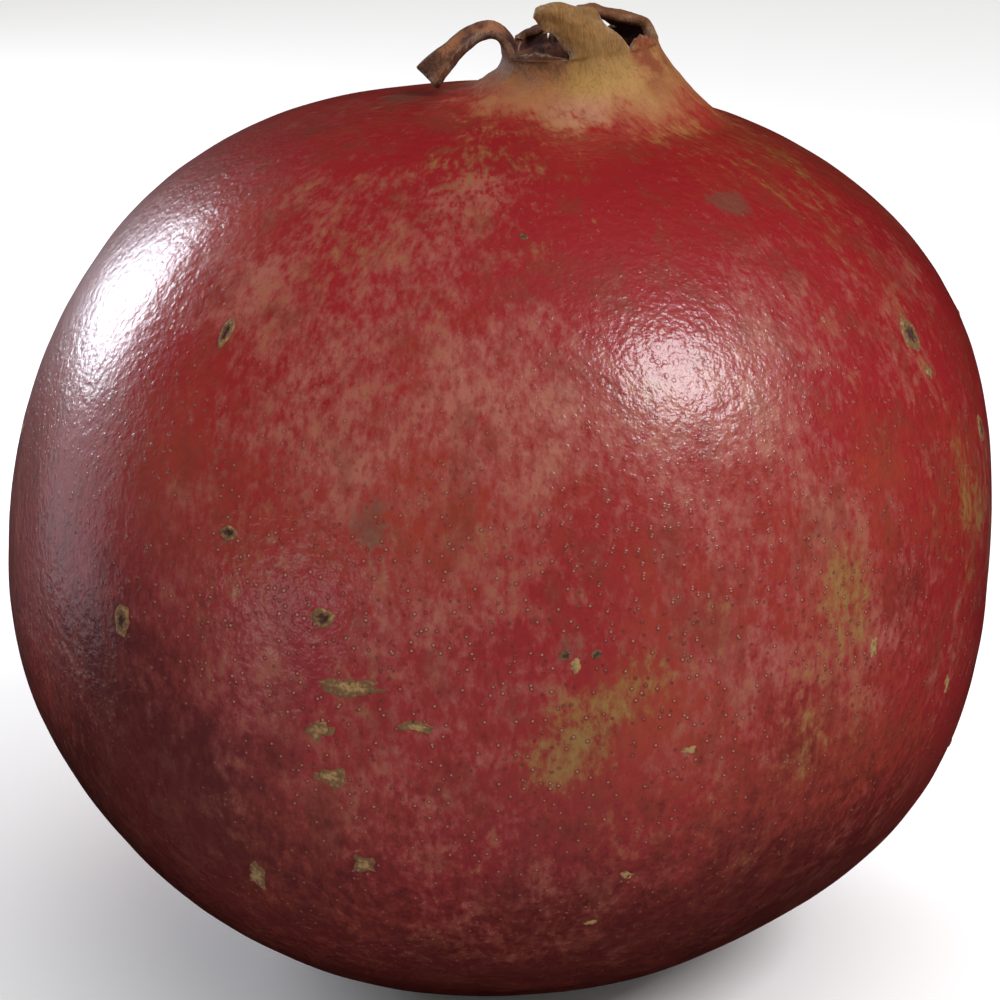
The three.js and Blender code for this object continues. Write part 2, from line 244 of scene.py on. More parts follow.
@dataclass(frozen=True)
class FruitForm:
    """Form of the whole fruit in millimetres, as the solid part has it."""

    half_width: float = 49.3
    half_depth: float = 48.3
    top_height: float = 46.8
    base_height: float = 42.2
    top_power: float = 2.42
    base_power: float = 2.06
    rest_depth: float = 0.55
    shear: float = 0.022
    pole_tilt: float = 9.1
    centre: tuple[float, float] = (0.33, -0.45)
    faces: tuple[tuple[float, float], ...] = (
        (-8, 0.985), (46, 1.0), (100, 1.0), (160, 0.99), (218, 1.0), (286, 0.975),
    )
    face_power: float = 9.0
    face_scale: float = 1.035
    face_weight: float = 0.42
    face_drift: float = 9.0
    scar: tuple[tuple[float, float], ...] = ((0, 0.3), (1.9, 0.35), (2.3, 0.9), (2.9, 0.9), (3.5, 0))
    neck_angle: float = 17.2
    neck_in: float = 1.0
    neck_out: float = 2.6
    flare: float = 0.25
    crown_lean: float = -6.0
    rim_height: float = 4.2
    rim_radius: float = 7.5
    wall: float = 1.1
    cup_depth: float = 9.0
    cup_floor: float = 4.6
    cup_straight: float = 0.75
    cup_belly: float = 0.6
    blend: float = 0.55

    @property
    def core(self) -> np.ndarray:
        """Point inside the fruit that directions are measured from."""
        return np.array([*self.centre, self.base_height])

    def direction(self, angle: np.ndarray, azimuth: np.ndarray) -> np.ndarray:
        """Directions from the core, measured from the crown's pole.

        Args:
            angle: angle from the pole in radians.
            azimuth: azimuth in radians.

        Returns:
            The directions, at length one.
        """
        x = np.sin(angle) * np.sin(azimuth)
        y = -np.sin(angle) * np.cos(azimuth)
        z = np.cos(angle)
        tilt = math.radians(self.pole_tilt) * np.cos(angle / 2) ** 2
        return np.stack([x * np.cos(tilt) + z * np.sin(tilt), y, z * np.cos(tilt) - x * np.sin(tilt)], -1)

    def plan(self, azimuth: np.ndarray) -> np.ndarray:
        """Distance of the soft polygon of faces, seen from above.

        Args:
            azimuth: azimuths in radians.

        Returns:
            The distances, about 1.
        """
        total = np.zeros_like(azimuth)
        for angle, distance in self.faces:
            facing = np.maximum(np.cos(azimuth - math.radians(angle)), 0)
            total = total + (facing / distance) ** self.face_power
        return total ** (-1 / self.face_power)

    def reach(self, d: np.ndarray) -> np.ndarray:
        """Distance from the core to the skin.

        Args:
            d: directions from the core.

        Returns:
            The distances in millimetres.
        """
        x, y, z = d[..., 0], d[..., 1], d[..., 2]
        azimuth = np.arctan2(x, -y) + math.radians(self.face_drift) * z
        flat = (self.plan(azimuth) / self.face_scale) ** self.face_weight
        wide = np.hypot(x / self.half_width, y / self.half_depth) / flat
        power = np.where(z > 0, self.top_power, self.base_power)
        tall = np.abs(z) / np.where(z > 0, self.top_height, self.base_height)
        distance = (wide**power + tall**power) ** (-1 / power)
        return distance + sum(swell.over(d) for swell in SWELLS)

    def surface(self, directions: np.ndarray) -> np.ndarray:
        """Points on the skin, without the flat under the fruit.

        Args:
            directions: directions from the core.

        Returns:
            The points.
        """
        p = directions * self.reach(directions)[..., None]
        x = p[..., 0] + self.shear * p[..., 2] + self.centre[0]
        return np.stack([x, p[..., 1] + self.centre[1], p[..., 2] + self.base_height - self.rest_depth], -1)

    def skin(self, angle: np.ndarray, azimuth: np.ndarray) -> np.ndarray:
        """Points on the skin, pressed flat where the fruit rests.

        Args:
            angle: angle from the crown's pole in radians.
            azimuth: azimuth in radians.

        Returns:
            The points.
        """
        d = self.direction(angle, azimuth)
        points = self.surface(d)
        p = d * self.reach(d)[..., None]
        radii, heights = zip(*self.scar)
        recess = np.interp(np.hypot(p[..., 0], p[..., 1]), radii, heights, right=0.0)
        points[..., 2] = np.maximum(points[..., 2], np.where(p[..., 2] < 0, recess, 0.0))
        return points

    @property
    def up(self) -> np.ndarray:
        """Direction of the calyx's axis."""
        lean = math.radians(self.crown_lean)
        return np.array([math.sin(lean), 0.0, math.cos(lean)])

    @property
    def right(self) -> np.ndarray:
        """Direction to the right across the calyx."""
        return np.array([self.up[2], 0.0, -self.up[0]])

    @property
    def back(self) -> np.ndarray:
        """Direction to the back across the calyx."""
        return np.cross(self.up, self.right)

    @property
    def middle(self) -> np.ndarray:
        """Middle of the rim."""
        return self.skin(np.array(0.0), np.array(0.0)) + self.up * self.rim_height

    def out_at(self, azimuth: np.ndarray) -> np.ndarray:
        """Outward directions round the calyx."""
        return np.sin(azimuth)[..., None] * self.right - np.cos(azimuth)[..., None] * self.back

    def across_at(self, azimuth: np.ndarray) -> np.ndarray:
        """Sideways directions round the calyx."""
        return np.cos(azimuth)[..., None] * self.right + np.sin(azimuth)[..., None] * self.back

    def rim_at(self, azimuth: np.ndarray) -> np.ndarray:
        """Points of the rim's outer edge."""
        return self.middle + self.out_at(azimuth) * self.rim_radius

    def wall_normal(self, azimuth: np.ndarray) -> np.ndarray:
        """Outward normals of the calyx's wall at the rim."""
        return unit(self.out_at(azimuth) + self.flare * self.up)

    def neck(self, t: np.ndarray, azimuth: np.ndarray) -> np.ndarray:
        """Outer wall of the neck.

        Args:
            t: position from the body at 0 to the rim at 1.
            azimuth: azimuths in radians.

        Returns:
            The points.
        """
        small = 0.01
        angle = np.full_like(azimuth, math.radians(self.neck_angle))
        foot = self.skin(angle, azimuth)
        slope = unit(self.skin(angle - small, azimuth) - foot)
        rise = unit(self.up - self.flare * self.out_at(azimuth))
        top = self.rim_at(azimuth)
        return cubic(t[..., None], foot, foot + slope * self.neck_in, top - rise * self.neck_out, top)

    def cup(self, t: np.ndarray, azimuth: np.ndarray) -> np.ndarray:
        """Inside of the cup.

        Args:
            t: position from the rim at 0 to the middle of the floor at 1.
            azimuth: azimuths in radians.

        Returns:
            The points.
        """
        out = self.out_at(azimuth)
        top = self.rim_at(azimuth) - self.wall_normal(azimuth) * self.wall
        floor = self.middle - self.up * self.cup_depth
        belly = top - self.up * self.cup_depth * self.cup_straight + out * self.cup_belly
        return cubic(t[..., None], top, belly, floor + out * self.cup_floor, floor + out * 0)


class LobeSheet:
    """Outer and inner faces of one lobe, on a grid of length 0..1 and width -1..1."""

    JAG = 0.14
    JAG_STEPS = 6
    LOW_SIDES = 0.45
    LOW_TORN = 0.35
    LOW_STEPS = 7

    def __init__(self, form: FruitForm, lobe: CalyxLobe, rows: int, columns: int, ragged: Noise) -> None:
        """Works out both faces.

        Args:
            form: the fruit that the lobe grows from.
            lobe: its sizes.
            rows: steps from the root to the tip.
            columns: steps across.
            ragged: noise for torn edges.
        """
        self.form = form
        self.lobe = lobe
        self.length = np.linspace(0, 1, rows + 1)
        self.width = np.linspace(-1, 1, columns + 1)
        centre = np.array(lobe.middle)
        self.root = form.rim_at(centre)
        frame = (form.out_at(centre), form.up, form.across_at(centre))
        after = [self.root + sum(k * v for k, v in zip(point, frame)) for point in lobe.spine]
        self.controls = [self.root, *after]
        self.outer = self.face(ragged)
        self.inner = self.offset()

    def tangents(self) -> np.ndarray:
        """Works out how the spine runs.

        Returns:
            Directions along the spine, one a row.
        """
        step = 1e-3
        ahead = cubic(np.minimum(self.length + step, 1)[:, None], *self.controls)
        behind = cubic(np.maximum(self.length - step, 0)[:, None], *self.controls)
        return unit(ahead - behind)

    def frames(self) -> tuple[np.ndarray, np.ndarray]:
        """Carries the lobe's frame along the spine, with its twist.

        Returns:
            Sideways and outward directions, one a row.
        """
        tangent = self.tangents()
        side = self.form.across_at(np.array(self.lobe.middle))
        sides = []
        for t in tangent:
            side = unit(side - t * np.dot(side, t))
            sides.append(side)
        across = np.array(sides)
        normal = np.cross(across, tangent)
        turn = math.radians(self.lobe.twist) * smooth(self.length)[:, None]
        return across * np.cos(turn) + normal * np.sin(turn), normal * np.cos(turn) - across * np.sin(turn)

    def face(self, ragged: Noise) -> np.ndarray:
        """Points of the outer face.

        Args:
            ragged: noise for the torn edges.

        Returns:
            Grid of points, rows by columns.
        """
        lobe, form = self.lobe, self.form
        spine = cubic(self.length[:, None], *self.controls)
        across = np.outer(cubic(self.length, *lobe.widths), self.width)
        edge = np.abs(self.width) ** 3
        jag = ragged(places(self.length[:, None] * self.JAG_STEPS, np.sign(self.width) * 9, lobe.start), 1.0)
        across = across * (1 + self.JAG * jag * edge * smooth(self.length * 3)[:, None])
        if lobe.low:
            torn = ragged(places(self.width * self.LOW_STEPS, lobe.start, 0.0), 1.0)
            tall = self.LOW_SIDES + (1 - self.LOW_SIDES) * (1 - self.width**2)
            tall = tall + self.LOW_TORN * torn * (1 - edge)
            rise = (spine - self.root)[:, None] * tall[None, :, None]
            return form.rim_at(lobe.middle + lobe.half * across) + rise
        side, normal = self.frames()
        bow = lobe.bow * self.width**2
        strip = spine[:, None] + side[:, None] * across[..., None] + normal[:, None] * bow[None, :, None]
        keep = (1 - smooth(self.length / form.blend))[:, None, None]
        return strip + keep * (form.rim_at(lobe.middle + lobe.half * self.width) - strip[0])[None]

    def offset(self) -> np.ndarray:
        """Moves the outer face in by the lobe's thickness.

        Returns:
            Grid of points of the inner face, rows by columns.
        """
        lobe = self.lobe
        along = np.gradient(self.outer, axis=0)
        beside = np.gradient(self.outer, axis=1)
        face = unit(np.cross(unit(beside), unit(along)))
        keep = 1.0 if lobe.low else (1 - smooth(self.length / self.form.blend))[:, None, None]
        wall = self.form.wall_normal(lobe.middle + lobe.half * self.width)[None]
        normal = unit(face * (1 - keep) + wall * keep)
        thick = lobe.thick + (lobe.tip - lobe.thick) * self.length
        return self.outer - normal * thick[:, None, None]


class Shell:
    """Points, faces, material numbers and painted masks of one mesh."""

    def __init__(self, masks: tuple[str, ...]) -> None:
        """Starts empty.

        Args:
            masks: names of the numbers painted on each point.
        """
        self.blocks: list[np.ndarray] = []
        self.masks: dict[str, list[np.ndarray]] = {name: [] for name in masks}
        self.faces: list[tuple[int, ...]] = []
        self.slots: list[int] = []
        self.count = 0

    def add(self, points: np.ndarray, **painted: np.ndarray | float) -> np.ndarray:
        """Adds a block of points.

        Args:
            points: array of points, x, y and z on the last axis.
            painted: value of each mask over the block, 0 where it isn't given.

        Returns:
            The points' numbers, in the block's shape.
        """
        shape = points.shape[:-1]
        size = int(np.prod(shape))
        self.blocks.append(points.reshape(-1, 3))
        for name, values in self.masks.items():
            values.append(np.broadcast_to(painted.get(name, 0.0), shape).reshape(-1).astype(float))
        numbers = np.arange(self.count, self.count + size).reshape(shape)
        self.count += size
        return numbers

    def sheet(self, grid: np.ndarray, slot: int, closed: bool = False) -> None:
        """Adds the quads of a grid of point numbers, facing out when its rows rise and columns turn right.

        Args:
            grid: point numbers, rows by columns.
            slot: number of the material.
            closed: whether the last column meets the first.
        """
        wide = np.concatenate([grid, grid[:, :1]], axis=1) if closed else grid
        quads = np.stack([wide[:-1, :-1], wide[:-1, 1:], wide[1:, 1:], wide[1:, :-1]], -1).reshape(-1, 4)
        self.faces.extend(map(tuple, quads.tolist()))
        self.slots.extend([slot] * len(quads))

    def cap(self, ring: np.ndarray, point: int, slot: int) -> None:
        """Closes a ring of point numbers with a fan.

        Args:
            ring: numbers of the ring.
            point: number of the middle.
            slot: number of the material.
        """
        for a, b in zip(ring.tolist(), np.roll(ring, -1).tolist()):
            self.faces.append((point, b, a))
            self.slots.append(slot)

    def mesh(self, name: str, materials: list[bpy.types.Material]) -> bpy.types.Object:
        """Makes the Blender object.

        Args:
            name: the piece's name.
            materials: its materials in the order of their numbers.

        Returns:
            The linked object, in metres, smooth shaded, with its masks as attributes.
        """
        data = bpy.data.meshes.new(name)
        data.from_pydata((np.vstack(self.blocks) * METRE).tolist(), [], self.faces)
        for material in materials:
            data.materials.append(material)
        data.polygons.foreach_set("material_index", self.slots)
        data.polygons.foreach_set("use_smooth", [True] * len(self.faces))
        for mask, values in self.masks.items():
            layer = data.attributes.new(mask, "FLOAT", "POINT")
            layer.data.foreach_set("value", np.concatenate(values))
        data.update()
        piece = bpy.data.objects.new(name, data)
        bpy.context.scene.collection.objects.link(piece)
        return piece


@dataclass(frozen=True)
class Grain:
    """A noise: the size of its features in millimetres, its detail and its roughness."""

    size: float
    detail: float = 4.0
    rough: float = 0.55


@dataclass(frozen=True)
class Tint:
    """A colour that covers a surface the more, up to a most, the more a level rises from low to high.

    Where the level is a number painted on the mesh, a share of a noise is added to it.
    """

    code: str
    low: float
    high: float
    most: float = 1.0
    share: float = 1.0


def paint(code: str) -> tuple[float, float, float, float]:
    """Linear colour of a six-digit colour code.

    Args:
        code: red, green and blue as hexadecimal digits.

    Returns:
        Linear red, green, blue and alpha.
    """
    channels = [int(code[i : i + 2], 16) / 255 for i in (0, 2, 4)]
    linear = [c / 12.92 if c <= 0.04045 else ((c + 0.055) / 1.055) ** 2.4 for c in channels]
    return (linear[0], linear[1], linear[2], 1.0)


class Board:
    """Adds and joins the nodes of one tree."""

    def __init__(self, tree: bpy.types.NodeTree) -> None:
        """Takes the tree.

        Args:
            tree: node tree of a material, world or group.
        """
        self.tree = tree

    def put(self, kind: str, settings: dict[str, object] | None = None, **inputs: Given) -> bpy.types.Node:
        """Adds a node.

        Args:
            kind: Blender's name of the node.
            settings: properties to set on it.
            inputs: sockets by name, underscores for spaces, each a value or a socket to join.

        Returns:
            The node.
        """
        node = self.tree.nodes.new(kind)
        for name, value in (settings or {}).items():
            setattr(node, name, value)
        for name, value in inputs.items():
            self.feed(node.inputs[name.replace("_", " ")], value)
        return node

    def feed(self, socket: Socket, value: Given) -> None:
        """Joins a socket to a socket, or sets its value.

        Args:
            socket: the input.
            value: a value or the socket of an output.
        """
        if isinstance(value, Socket):
            self.tree.links.new(value, socket)
        else:
            socket.default_value = value

    def math(self, operation: str, *values: Given, clamp: bool = False) -> Socket:
        """Adds a Math node.

        Args:
            operation: Blender's name of the operation.
            values: one to three values or sockets.
            clamp: whether the result is held between 0 and 1.

        Returns:
            Socket of the result.
        """
        node = self.put("ShaderNodeMath", {"operation": operation, "use_clamp": clamp})
        for socket, value in zip(node.inputs, values):
            self.feed(socket, value)
        return node.outputs[0]

    def vector(self, operation: str, *values: Given, **named: Given) -> Socket:
        """Adds a Vector Math node.

        Args:
            operation: Blender's name of the operation.
            values: one or two vectors or sockets.
            named: other sockets by name.

        Returns:
            Socket of the result.
        """
        node = self.put("ShaderNodeVectorMath", {"operation": operation}, **named)
        for socket, value in zip(node.inputs, values):
            self.feed(socket, value)
        return node.outputs[0]

    def step(self, value: Given, low: Given, high: Given, bottom: float = 0.0, top: float = 1.0) -> Socket:
        """Adds a smooth ramp.

        Args:
            value: what the ramp follows.
            low: value where it starts.
            high: value where it ends.
            bottom: result at its start.
            top: result at its end.

        Returns:
            Socket of the result.
        """
        smoothly = {"interpolation_type": "SMOOTHSTEP"}
        sockets = {"From_Min": low, "From_Max": high, "To_Min": bottom, "To_Max": top}
        return self.put("ShaderNodeMapRange", smoothly, Value=value, **sockets).outputs["Result"]

    def mix(self, amount: Given, first: Given, second: Given) -> Socket:
        """Adds a mix of two colours.

        Args:
            amount: 0 for the first, 1 for the second.
            first: the first colour.
            second: the second colour.

        Returns:
            Socket of the colour.
        """
        node = self.put("ShaderNodeMix", {"data_type": "RGBA"})
        for number, value in ((0, amount), (6, first), (7, second)):
            self.feed(node.inputs[number], value)
        return node.outputs[2]

    def tint(self, level: Given, below: Given, tint: Tint) -> Socket:
        """Colour with a tint laid over it where a level is high."""
        return self.mix(self.step(level, tint.low, tint.high, 0.0, tint.most), below, paint(tint.code))

    def blurred(self, mask: str, noise: Given, share: float) -> Socket:
        """A number painted on the mesh with a share of a noise added."""
        return self.math("ADD", self.mask(mask), self.math("MULTIPLY", noise, share))

    def stain(self, mask: str, noise: Given, below: Given, tint: Tint) -> Socket:
        """Colour with a tint laid over it where a painted number is high, with a share of a noise."""
        return self.tint(self.blurred(mask, noise, tint.share), below, tint)

    def place(self) -> Socket:
        """Place on the object in millimetres."""
        coordinates = self.put("ShaderNodeTexCoord").outputs["Object"]
        return self.vector("SCALE", coordinates, Scale=1 / METRE)

    def stretched(self, place: Given, factors: tuple[float, float, float]) -> Socket:
        """Place with each axis multiplied."""
        return self.vector("MULTIPLY", place, factors)

    def noise(self, place: Given, grain: Grain) -> Socket:
        """Noise from 0 to 1."""
        sizes = {"Scale": 1 / grain.size, "Detail": grain.detail, "Roughness": grain.rough}
        return self.put("ShaderNodeTexNoise", None, Vector=place, **sizes).outputs["Fac"]

    def mask(self, name: str) -> Socket:
        """A number painted on the mesh."""
        return self.put("ShaderNodeAttribute", {"attribute_name": name}).outputs["Fac"]

    def group(self, tree: bpy.types.NodeTree, **inputs: Given) -> bpy.types.NodeOutputs:
        """Outputs of a node group that is placed with its inputs."""
        return self.put("ShaderNodeGroup", {"node_tree": tree}, **inputs).outputs


class Surface(Board):
    """Board of a new material."""

    def __init__(self, name: str) -> None:
        """Makes the material.

        Args:
            name: the material's name.
        """
        self.material = bpy.data.materials.new(name)
        self.material.use_nodes = True
        super().__init__(self.material.node_tree)
        self.shader = self.tree.nodes["Principled BSDF"].inputs

    def dress(self, colour: Given, roughness: Given) -> None:
        """Gives the shader its colour and its roughness."""
        self.feed(self.shader["Base Color"], colour)
        self.feed(self.shader["Roughness"], roughness)

    def emboss(self, height: Socket, strength: float, distance: float, *normals: str) -> None:
        """Gives the shader a relief.

        Args:
            height: socket of the relief.
            strength: how much of it shows.
            distance: its depth in metres.
            normals: names of the shader's sockets that take it.
        """
        bump = self.put("ShaderNodeBump", None, Strength=strength, Distance=distance, Height=height)
        for name in normals:
            self.feed(self.shader[name], bump.outputs["Normal"])


class GroupBoard(Board):
    """Board of a new shader node group, with its sockets by name."""

    KINDS = {"Place": "NodeSocketVector", "Colour": "NodeSocketColor"}

    def __init__(self, name: str, inputs: dict[str, Given], outputs: tuple[str, ...]) -> None:
        """Makes the group.

        Args:
            name: the group's name.
            inputs: name and default value of each input.
            outputs: name of each output.
        """
        super().__init__(bpy.data.node_groups.new(name, "ShaderNodeTree"))
        for socket, default in inputs.items():
            self.socket(socket, "INPUT").default_value = default
        for socket in outputs:
            self.socket(socket, "OUTPUT")
        self.given = self.tree.nodes.new("NodeGroupInput").outputs
        self.results = self.tree.nodes.new("NodeGroupOutput").inputs

    def socket(self, name: str, way: str) -> bpy.types.NodeTreeInterfaceSocket:
        """Adds a socket, a number's unless its name says otherwise."""
        kind = self.KINDS.get(name, "NodeSocketFloat")
        return self.tree.interface.new_socket(name=name, in_out=way, socket_type=kind)

    def give(self, **values: Given) -> bpy.types.NodeTree:
        """Feeds the group's outputs.

        Args:
            values: a value or a socket for each output, by name.

        Returns:
            The finished group.
        """
        for name, value in values.items():
            self.feed(self.results[name], value)
        return self.tree


class Weathering:
    """Node groups that the rind's, the lining's, the cork's and the stamens' materials share."""

    def __init__(self) -> None:
        """Builds the groups once."""
        self.mottle = self.build_mottle()
        self.wrinkle = self.build_wrinkle()

    def build_mottle(self) -> bpy.types.NodeTree:
        """Builds cloudy patches with ragged edges.

        Returns:
            Group that puts out a mask from 0 to 1.
        """
        inputs = {"Place": (0, 0, 0), "Size": 8.0, "Bias": 0.5, "Softness": 0.1}
        board = GroupBoard("mottle", inputs, ("Mask",))
        place, size, bias, softness = (board.given[name] for name in inputs)
        sockets = {"Scale": board.math("DIVIDE", 1.0, size), "Detail": 4.0, "Roughness": 0.65}
        noise = board.put("ShaderNodeTexNoise", None, Vector=place, **sockets).outputs["Fac"]
        low = board.math("SUBTRACT", bias, softness)
        return board.give(Mask=board.step(noise, low, board.math("ADD", bias, softness)))

    def build_wrinkle(self) -> bpy.types.NodeTree:
        """Builds fine creases of dried tissue.

        Returns:
            Group that puts out a height and a mask of the dark creases.
        """
        inputs = {"Place": (0, 0, 0), "Size": 1.0}
        board = GroupBoard("wrinkle", inputs, ("Height", "Crease"))
        fold_width, crease_width = 0.16, 0.022
        sockets = {"Scale": board.math("DIVIDE", 1.0, board.given["Size"]), "Detail": 3.0, "Roughness": 0.6}
        noise = board.put("ShaderNodeTexNoise", None, Vector=board.given["Place"], **sockets).outputs["Fac"]
        ridge = board.math("ABSOLUTE", board.math("SUBTRACT", noise, 0.5))
        height, crease = board.step(ridge, 0.0, fold_width), board.step(ridge, crease_width, 0.0)
        return board.give(Height=height, Crease=crease)


@dataclass(frozen=True)
class RindFinish:
    """Waxy red rind that turns tan and dry towards the calyx."""

    shared: Weathering
    cloud: Grain = Grain(3.4, 6.0, 0.66)
    cloudy: Grain = Grain(4.6, 5.0, 0.7)
    fibre: Grain = Grain(0.8, 3.5, 0.72)
    leather: Grain = Grain(1.0, 2.5, 0.6)
    brick: str = "852B1B"
    crimson: Tint = Tint("811417", -0.16, 0.22)
    dusty: Tint = Tint("883C35", 0.05, 0.5, 0.7)
    rosy: Tint = Tint("965A49", 0.36, 0.95, 0.8)
    dulled: Tint = Tint("6A2E1C", 0.47, 0.66, 0.5)
    burnt: Tint = Tint("7E3E1C", 0.1, 0.6, 0.5, 0.8)
    ochre: Tint = Tint("7E602E", 0.32, 0.95, 1.0, 0.8)
    ripe: Tint = Tint("811417", 0.36, 0.66, 0.85, -0.9)
    # Colour of the smudges, and of the painted shadow under the strap's tip.
    smudge_and_shadow: Tint = Tint("5C4030", 0.3, 0.9, 0.6, 0.7)
    plum: str = "6A1828"
    # Painted shade: the maroon, varied by umber, that the dark mask lays on the underside and the left side.
    painted_shade_maroon: str = "470D10"
    umber: Tint = Tint("4E1E15", -0.3, 0.3)
    bark: str = "5A4030"
    wood: Tint = Tint("7F6247", -0.3, 0.3)
    tan: Tint = Tint("905A35", 0.72, 1.6, 0.92)
    olive: Tint = Tint("A0823E", 0.2, 0.9, 0.85, 0.35)
    pink: str = "A87C66"
    dot: str = "5A201A"
    pore: str = "B07C60"
    brown: str = "402A1A"
    rust: str = "57361D"
    crack: str = "4A2A18"
    grey: str = "96897C"
    flushed: str = "6E2C16"
    lenticel_scale: float = 1.1
    waxy_roughness: float = 0.42
    dry_roughness: float = 0.72
    coat: float = 0.75
    coat_roughness: float = 0.21
    specular: float = 0.3
    relief_depth: float = 0.00012
    waxy_relief: float = 0.4
    dry_relief: float = 0.3

    def materials(self) -> list[bpy.types.Material]:
        """The body's and the calyx's material, which share the skin."""
        group = self.skin_group()
        return [self.material("waxy_rind", group, False), self.material("dry_calyx", group, True)]

    def skin_group(self) -> bpy.types.NodeTree:
        """Builds the skin that both materials share.

        Returns:
            Group that puts out the colour, two noises about 0 and the leather's relief.
        """
        board = GroupBoard("rind_skin", {"Place": (0, 0, 0)}, ("Colour", "Cloud", "Woven", "Relief"))
        place = board.given["Place"]
        cloud = board.math("SUBTRACT", board.noise(place, self.cloud), 0.5)
        dull = board.noise(board.stretched(place, (1.0, 1.0, 0.6)), self.cloudy)
        woven = board.math("SUBTRACT", board.noise(self.fibres(board, place), self.fibre), 0.5)
        leather = board.step(board.noise(place, self.leather), 0.26, 0.74)
        colour = self.collar(board, cloud, woven, self.skin(board, cloud, woven, dull))
        return board.give(Colour=colour, Cloud=cloud, Woven=woven, Relief=leather)

    def fibres(self, board: Board, place: Socket) -> Socket:
        """Place drawn out along the meridians, the more so near the calyx.

        Args:
            board: the group's nodes.
            place: socket of the place in millimetres.

        Returns:
            Socket of the drawn-out place.
        """
        spokes = 20.0
        flat = board.vector("NORMALIZE", board.stretched(place, (1.0, 1.0, 0.0)))
        around = board.vector("SCALE", flat, Scale=spokes)
        return board.vector("ADD", around, board.stretched(place, (0.6, 0.6, 0.58)))

    def material(self, name: str, group: bpy.types.NodeTree, dry: bool) -> bpy.types.Material:
        """Builds one of the rind's two materials.

        Args:
            name: the material's name.
            group: the shared skin.
            dry: whether it has the creases and browns of the neck and lobes, in place of lenticels.

        Returns:
            The material.
        """
        board = Surface(name)
        place = board.place()
        skin = board.group(group, Place=place)
        colour, cloud, woven, relief = (skin[output] for output in ("Colour", "Cloud", "Woven", "Relief"))
        if dry:
            colour, relief = self.dried(board, place, cloud, woven, colour, relief)
        else:
            colour, raised = self.lenticels(board, place, colour)
            relief = board.math("ADD", relief, raised)
        crown = board.mask("crown")
        board.dress(colour, board.step(crown, 0.9, 2.1, self.waxy_roughness, self.dry_roughness))
        board.feed(board.shader["Coat Weight"], board.step(crown, 0.7, 1.5, self.coat, 0.0))
        board.shader["Coat Roughness"].default_value = self.coat_roughness
        board.shader["Specular IOR Level"].default_value = self.specular
        strength = self.dry_relief if dry else self.waxy_relief
        board.emboss(relief, strength, self.relief_depth, "Normal", "Coat Normal")
        return board.material

    def skin(self, board: Board, cloud: Socket, woven: Socket, dull: Socket) -> Socket:
        """Colour of the red body.

        Args:
            board: the group's nodes.
            cloud: socket of the broad noise, about 0.
            woven: socket of the fine noise, about 0.
            dull: socket of the noise of the brownish tints, 0 to 1.

        Returns:
            Socket of the colour.
        """
        both = board.math("ADD", board.math("MULTIPLY", cloud, 1.9), board.math("MULTIPLY", woven, 1.9))
        colour = board.stain("red", cloud, paint(self.brick), self.crimson)
        colour = board.stain("rosy", both, colour, self.dusty)
        colour = board.stain("rosy", both, colour, self.rosy)
        colour = board.tint(dull, colour, self.dulled)
        colour = board.stain("ochre", both, colour, self.burnt)
        scurf = board.step(board.blurred("ochre", both, self.ochre.share), self.ochre.low, self.ochre.high)
        scurf = board.math("MULTIPLY", scurf, board.step(woven, -0.14, 0.12, 0.45, 0.9))
        colour = board.mix(scurf, colour, paint(self.ochre.code))
        colour = board.stain("red", both, colour, self.ripe)
        # Smudges, and the painted shadow of the strap's tip on the rind below it.
        colour = board.stain("smudge_and_shadow", both, colour, self.smudge_and_shadow)
        purple = board.math("MULTIPLY", board.mask("plum"), 0.6, clamp=True)
        colour = board.mix(purple, colour, paint(self.plum))
        # Painted shade: where the dark mask is high, mostly on the underside and the left side, the colour
        # goes to maroon.
        dark = board.step(board.blurred("dark", both, -0.55), 0.05, 0.95, 0.0, 0.88)
        colour = board.mix(dark, colour, board.tint(both, paint(self.painted_shade_maroon), self.umber))
        return board.mix(board.mask("stem"), colour, board.tint(both, paint(self.bark), self.wood))

    def collar(self, board: Board, cloud: Socket, woven: Socket, colour: Socket) -> Socket:
        """Colour of the neck and its ragged foot, laid over the body's.

        Args:
            board: the group's nodes.
            cloud: socket of the broad noise, about 0.
            woven: socket of the fine noise, about 0.
            colour: socket of the body's colour.

        Returns:
            Socket of the colour.
        """
        ragged = board.math("ADD", board.math("MULTIPLY", cloud, 2.2), board.math("MULTIPLY", woven, 1.2))
        level = board.math("SUBTRACT", board.math("ADD", board.mask("crown"), ragged), board.mask("flush"))
        colour = board.tint(level, colour, self.tan)
        faint = board.math("MULTIPLY", board.mask("pink"), board.step(level, 0.9, 1.5))
        return board.stain("yellow", ragged, board.mix(faint, colour, paint(self.pink)), self.olive)

    def lenticels(self, board: Board, place: Socket, colour: Socket) -> tuple[Socket, Socket]:
        """Small ringed dots over the body's colour.

        Args:
            board: the material's nodes.
            place: socket of the place in millimetres.
            colour: socket of the colour below.

        Returns:
            Sockets of the colour and of how far the dots stand out.
        """
        cells = board.put("ShaderNodeTexVoronoi", {"feature": "F1"}, Vector=place, Scale=self.lenticel_scale)
        near, dotted = cells.outputs["Distance"], board.mask("dotted")
        ring = board.math("MULTIPLY", board.step(near, 0.28, 0.20), dotted)
        core = board.math("MULTIPLY", board.step(near, 0.15, 0.08), dotted)
        colour = board.mix(board.math("MULTIPLY", ring, 0.7), colour, paint(self.dot))
        return board.mix(board.math("MULTIPLY", core, 0.6), colour, paint(self.pore)), ring

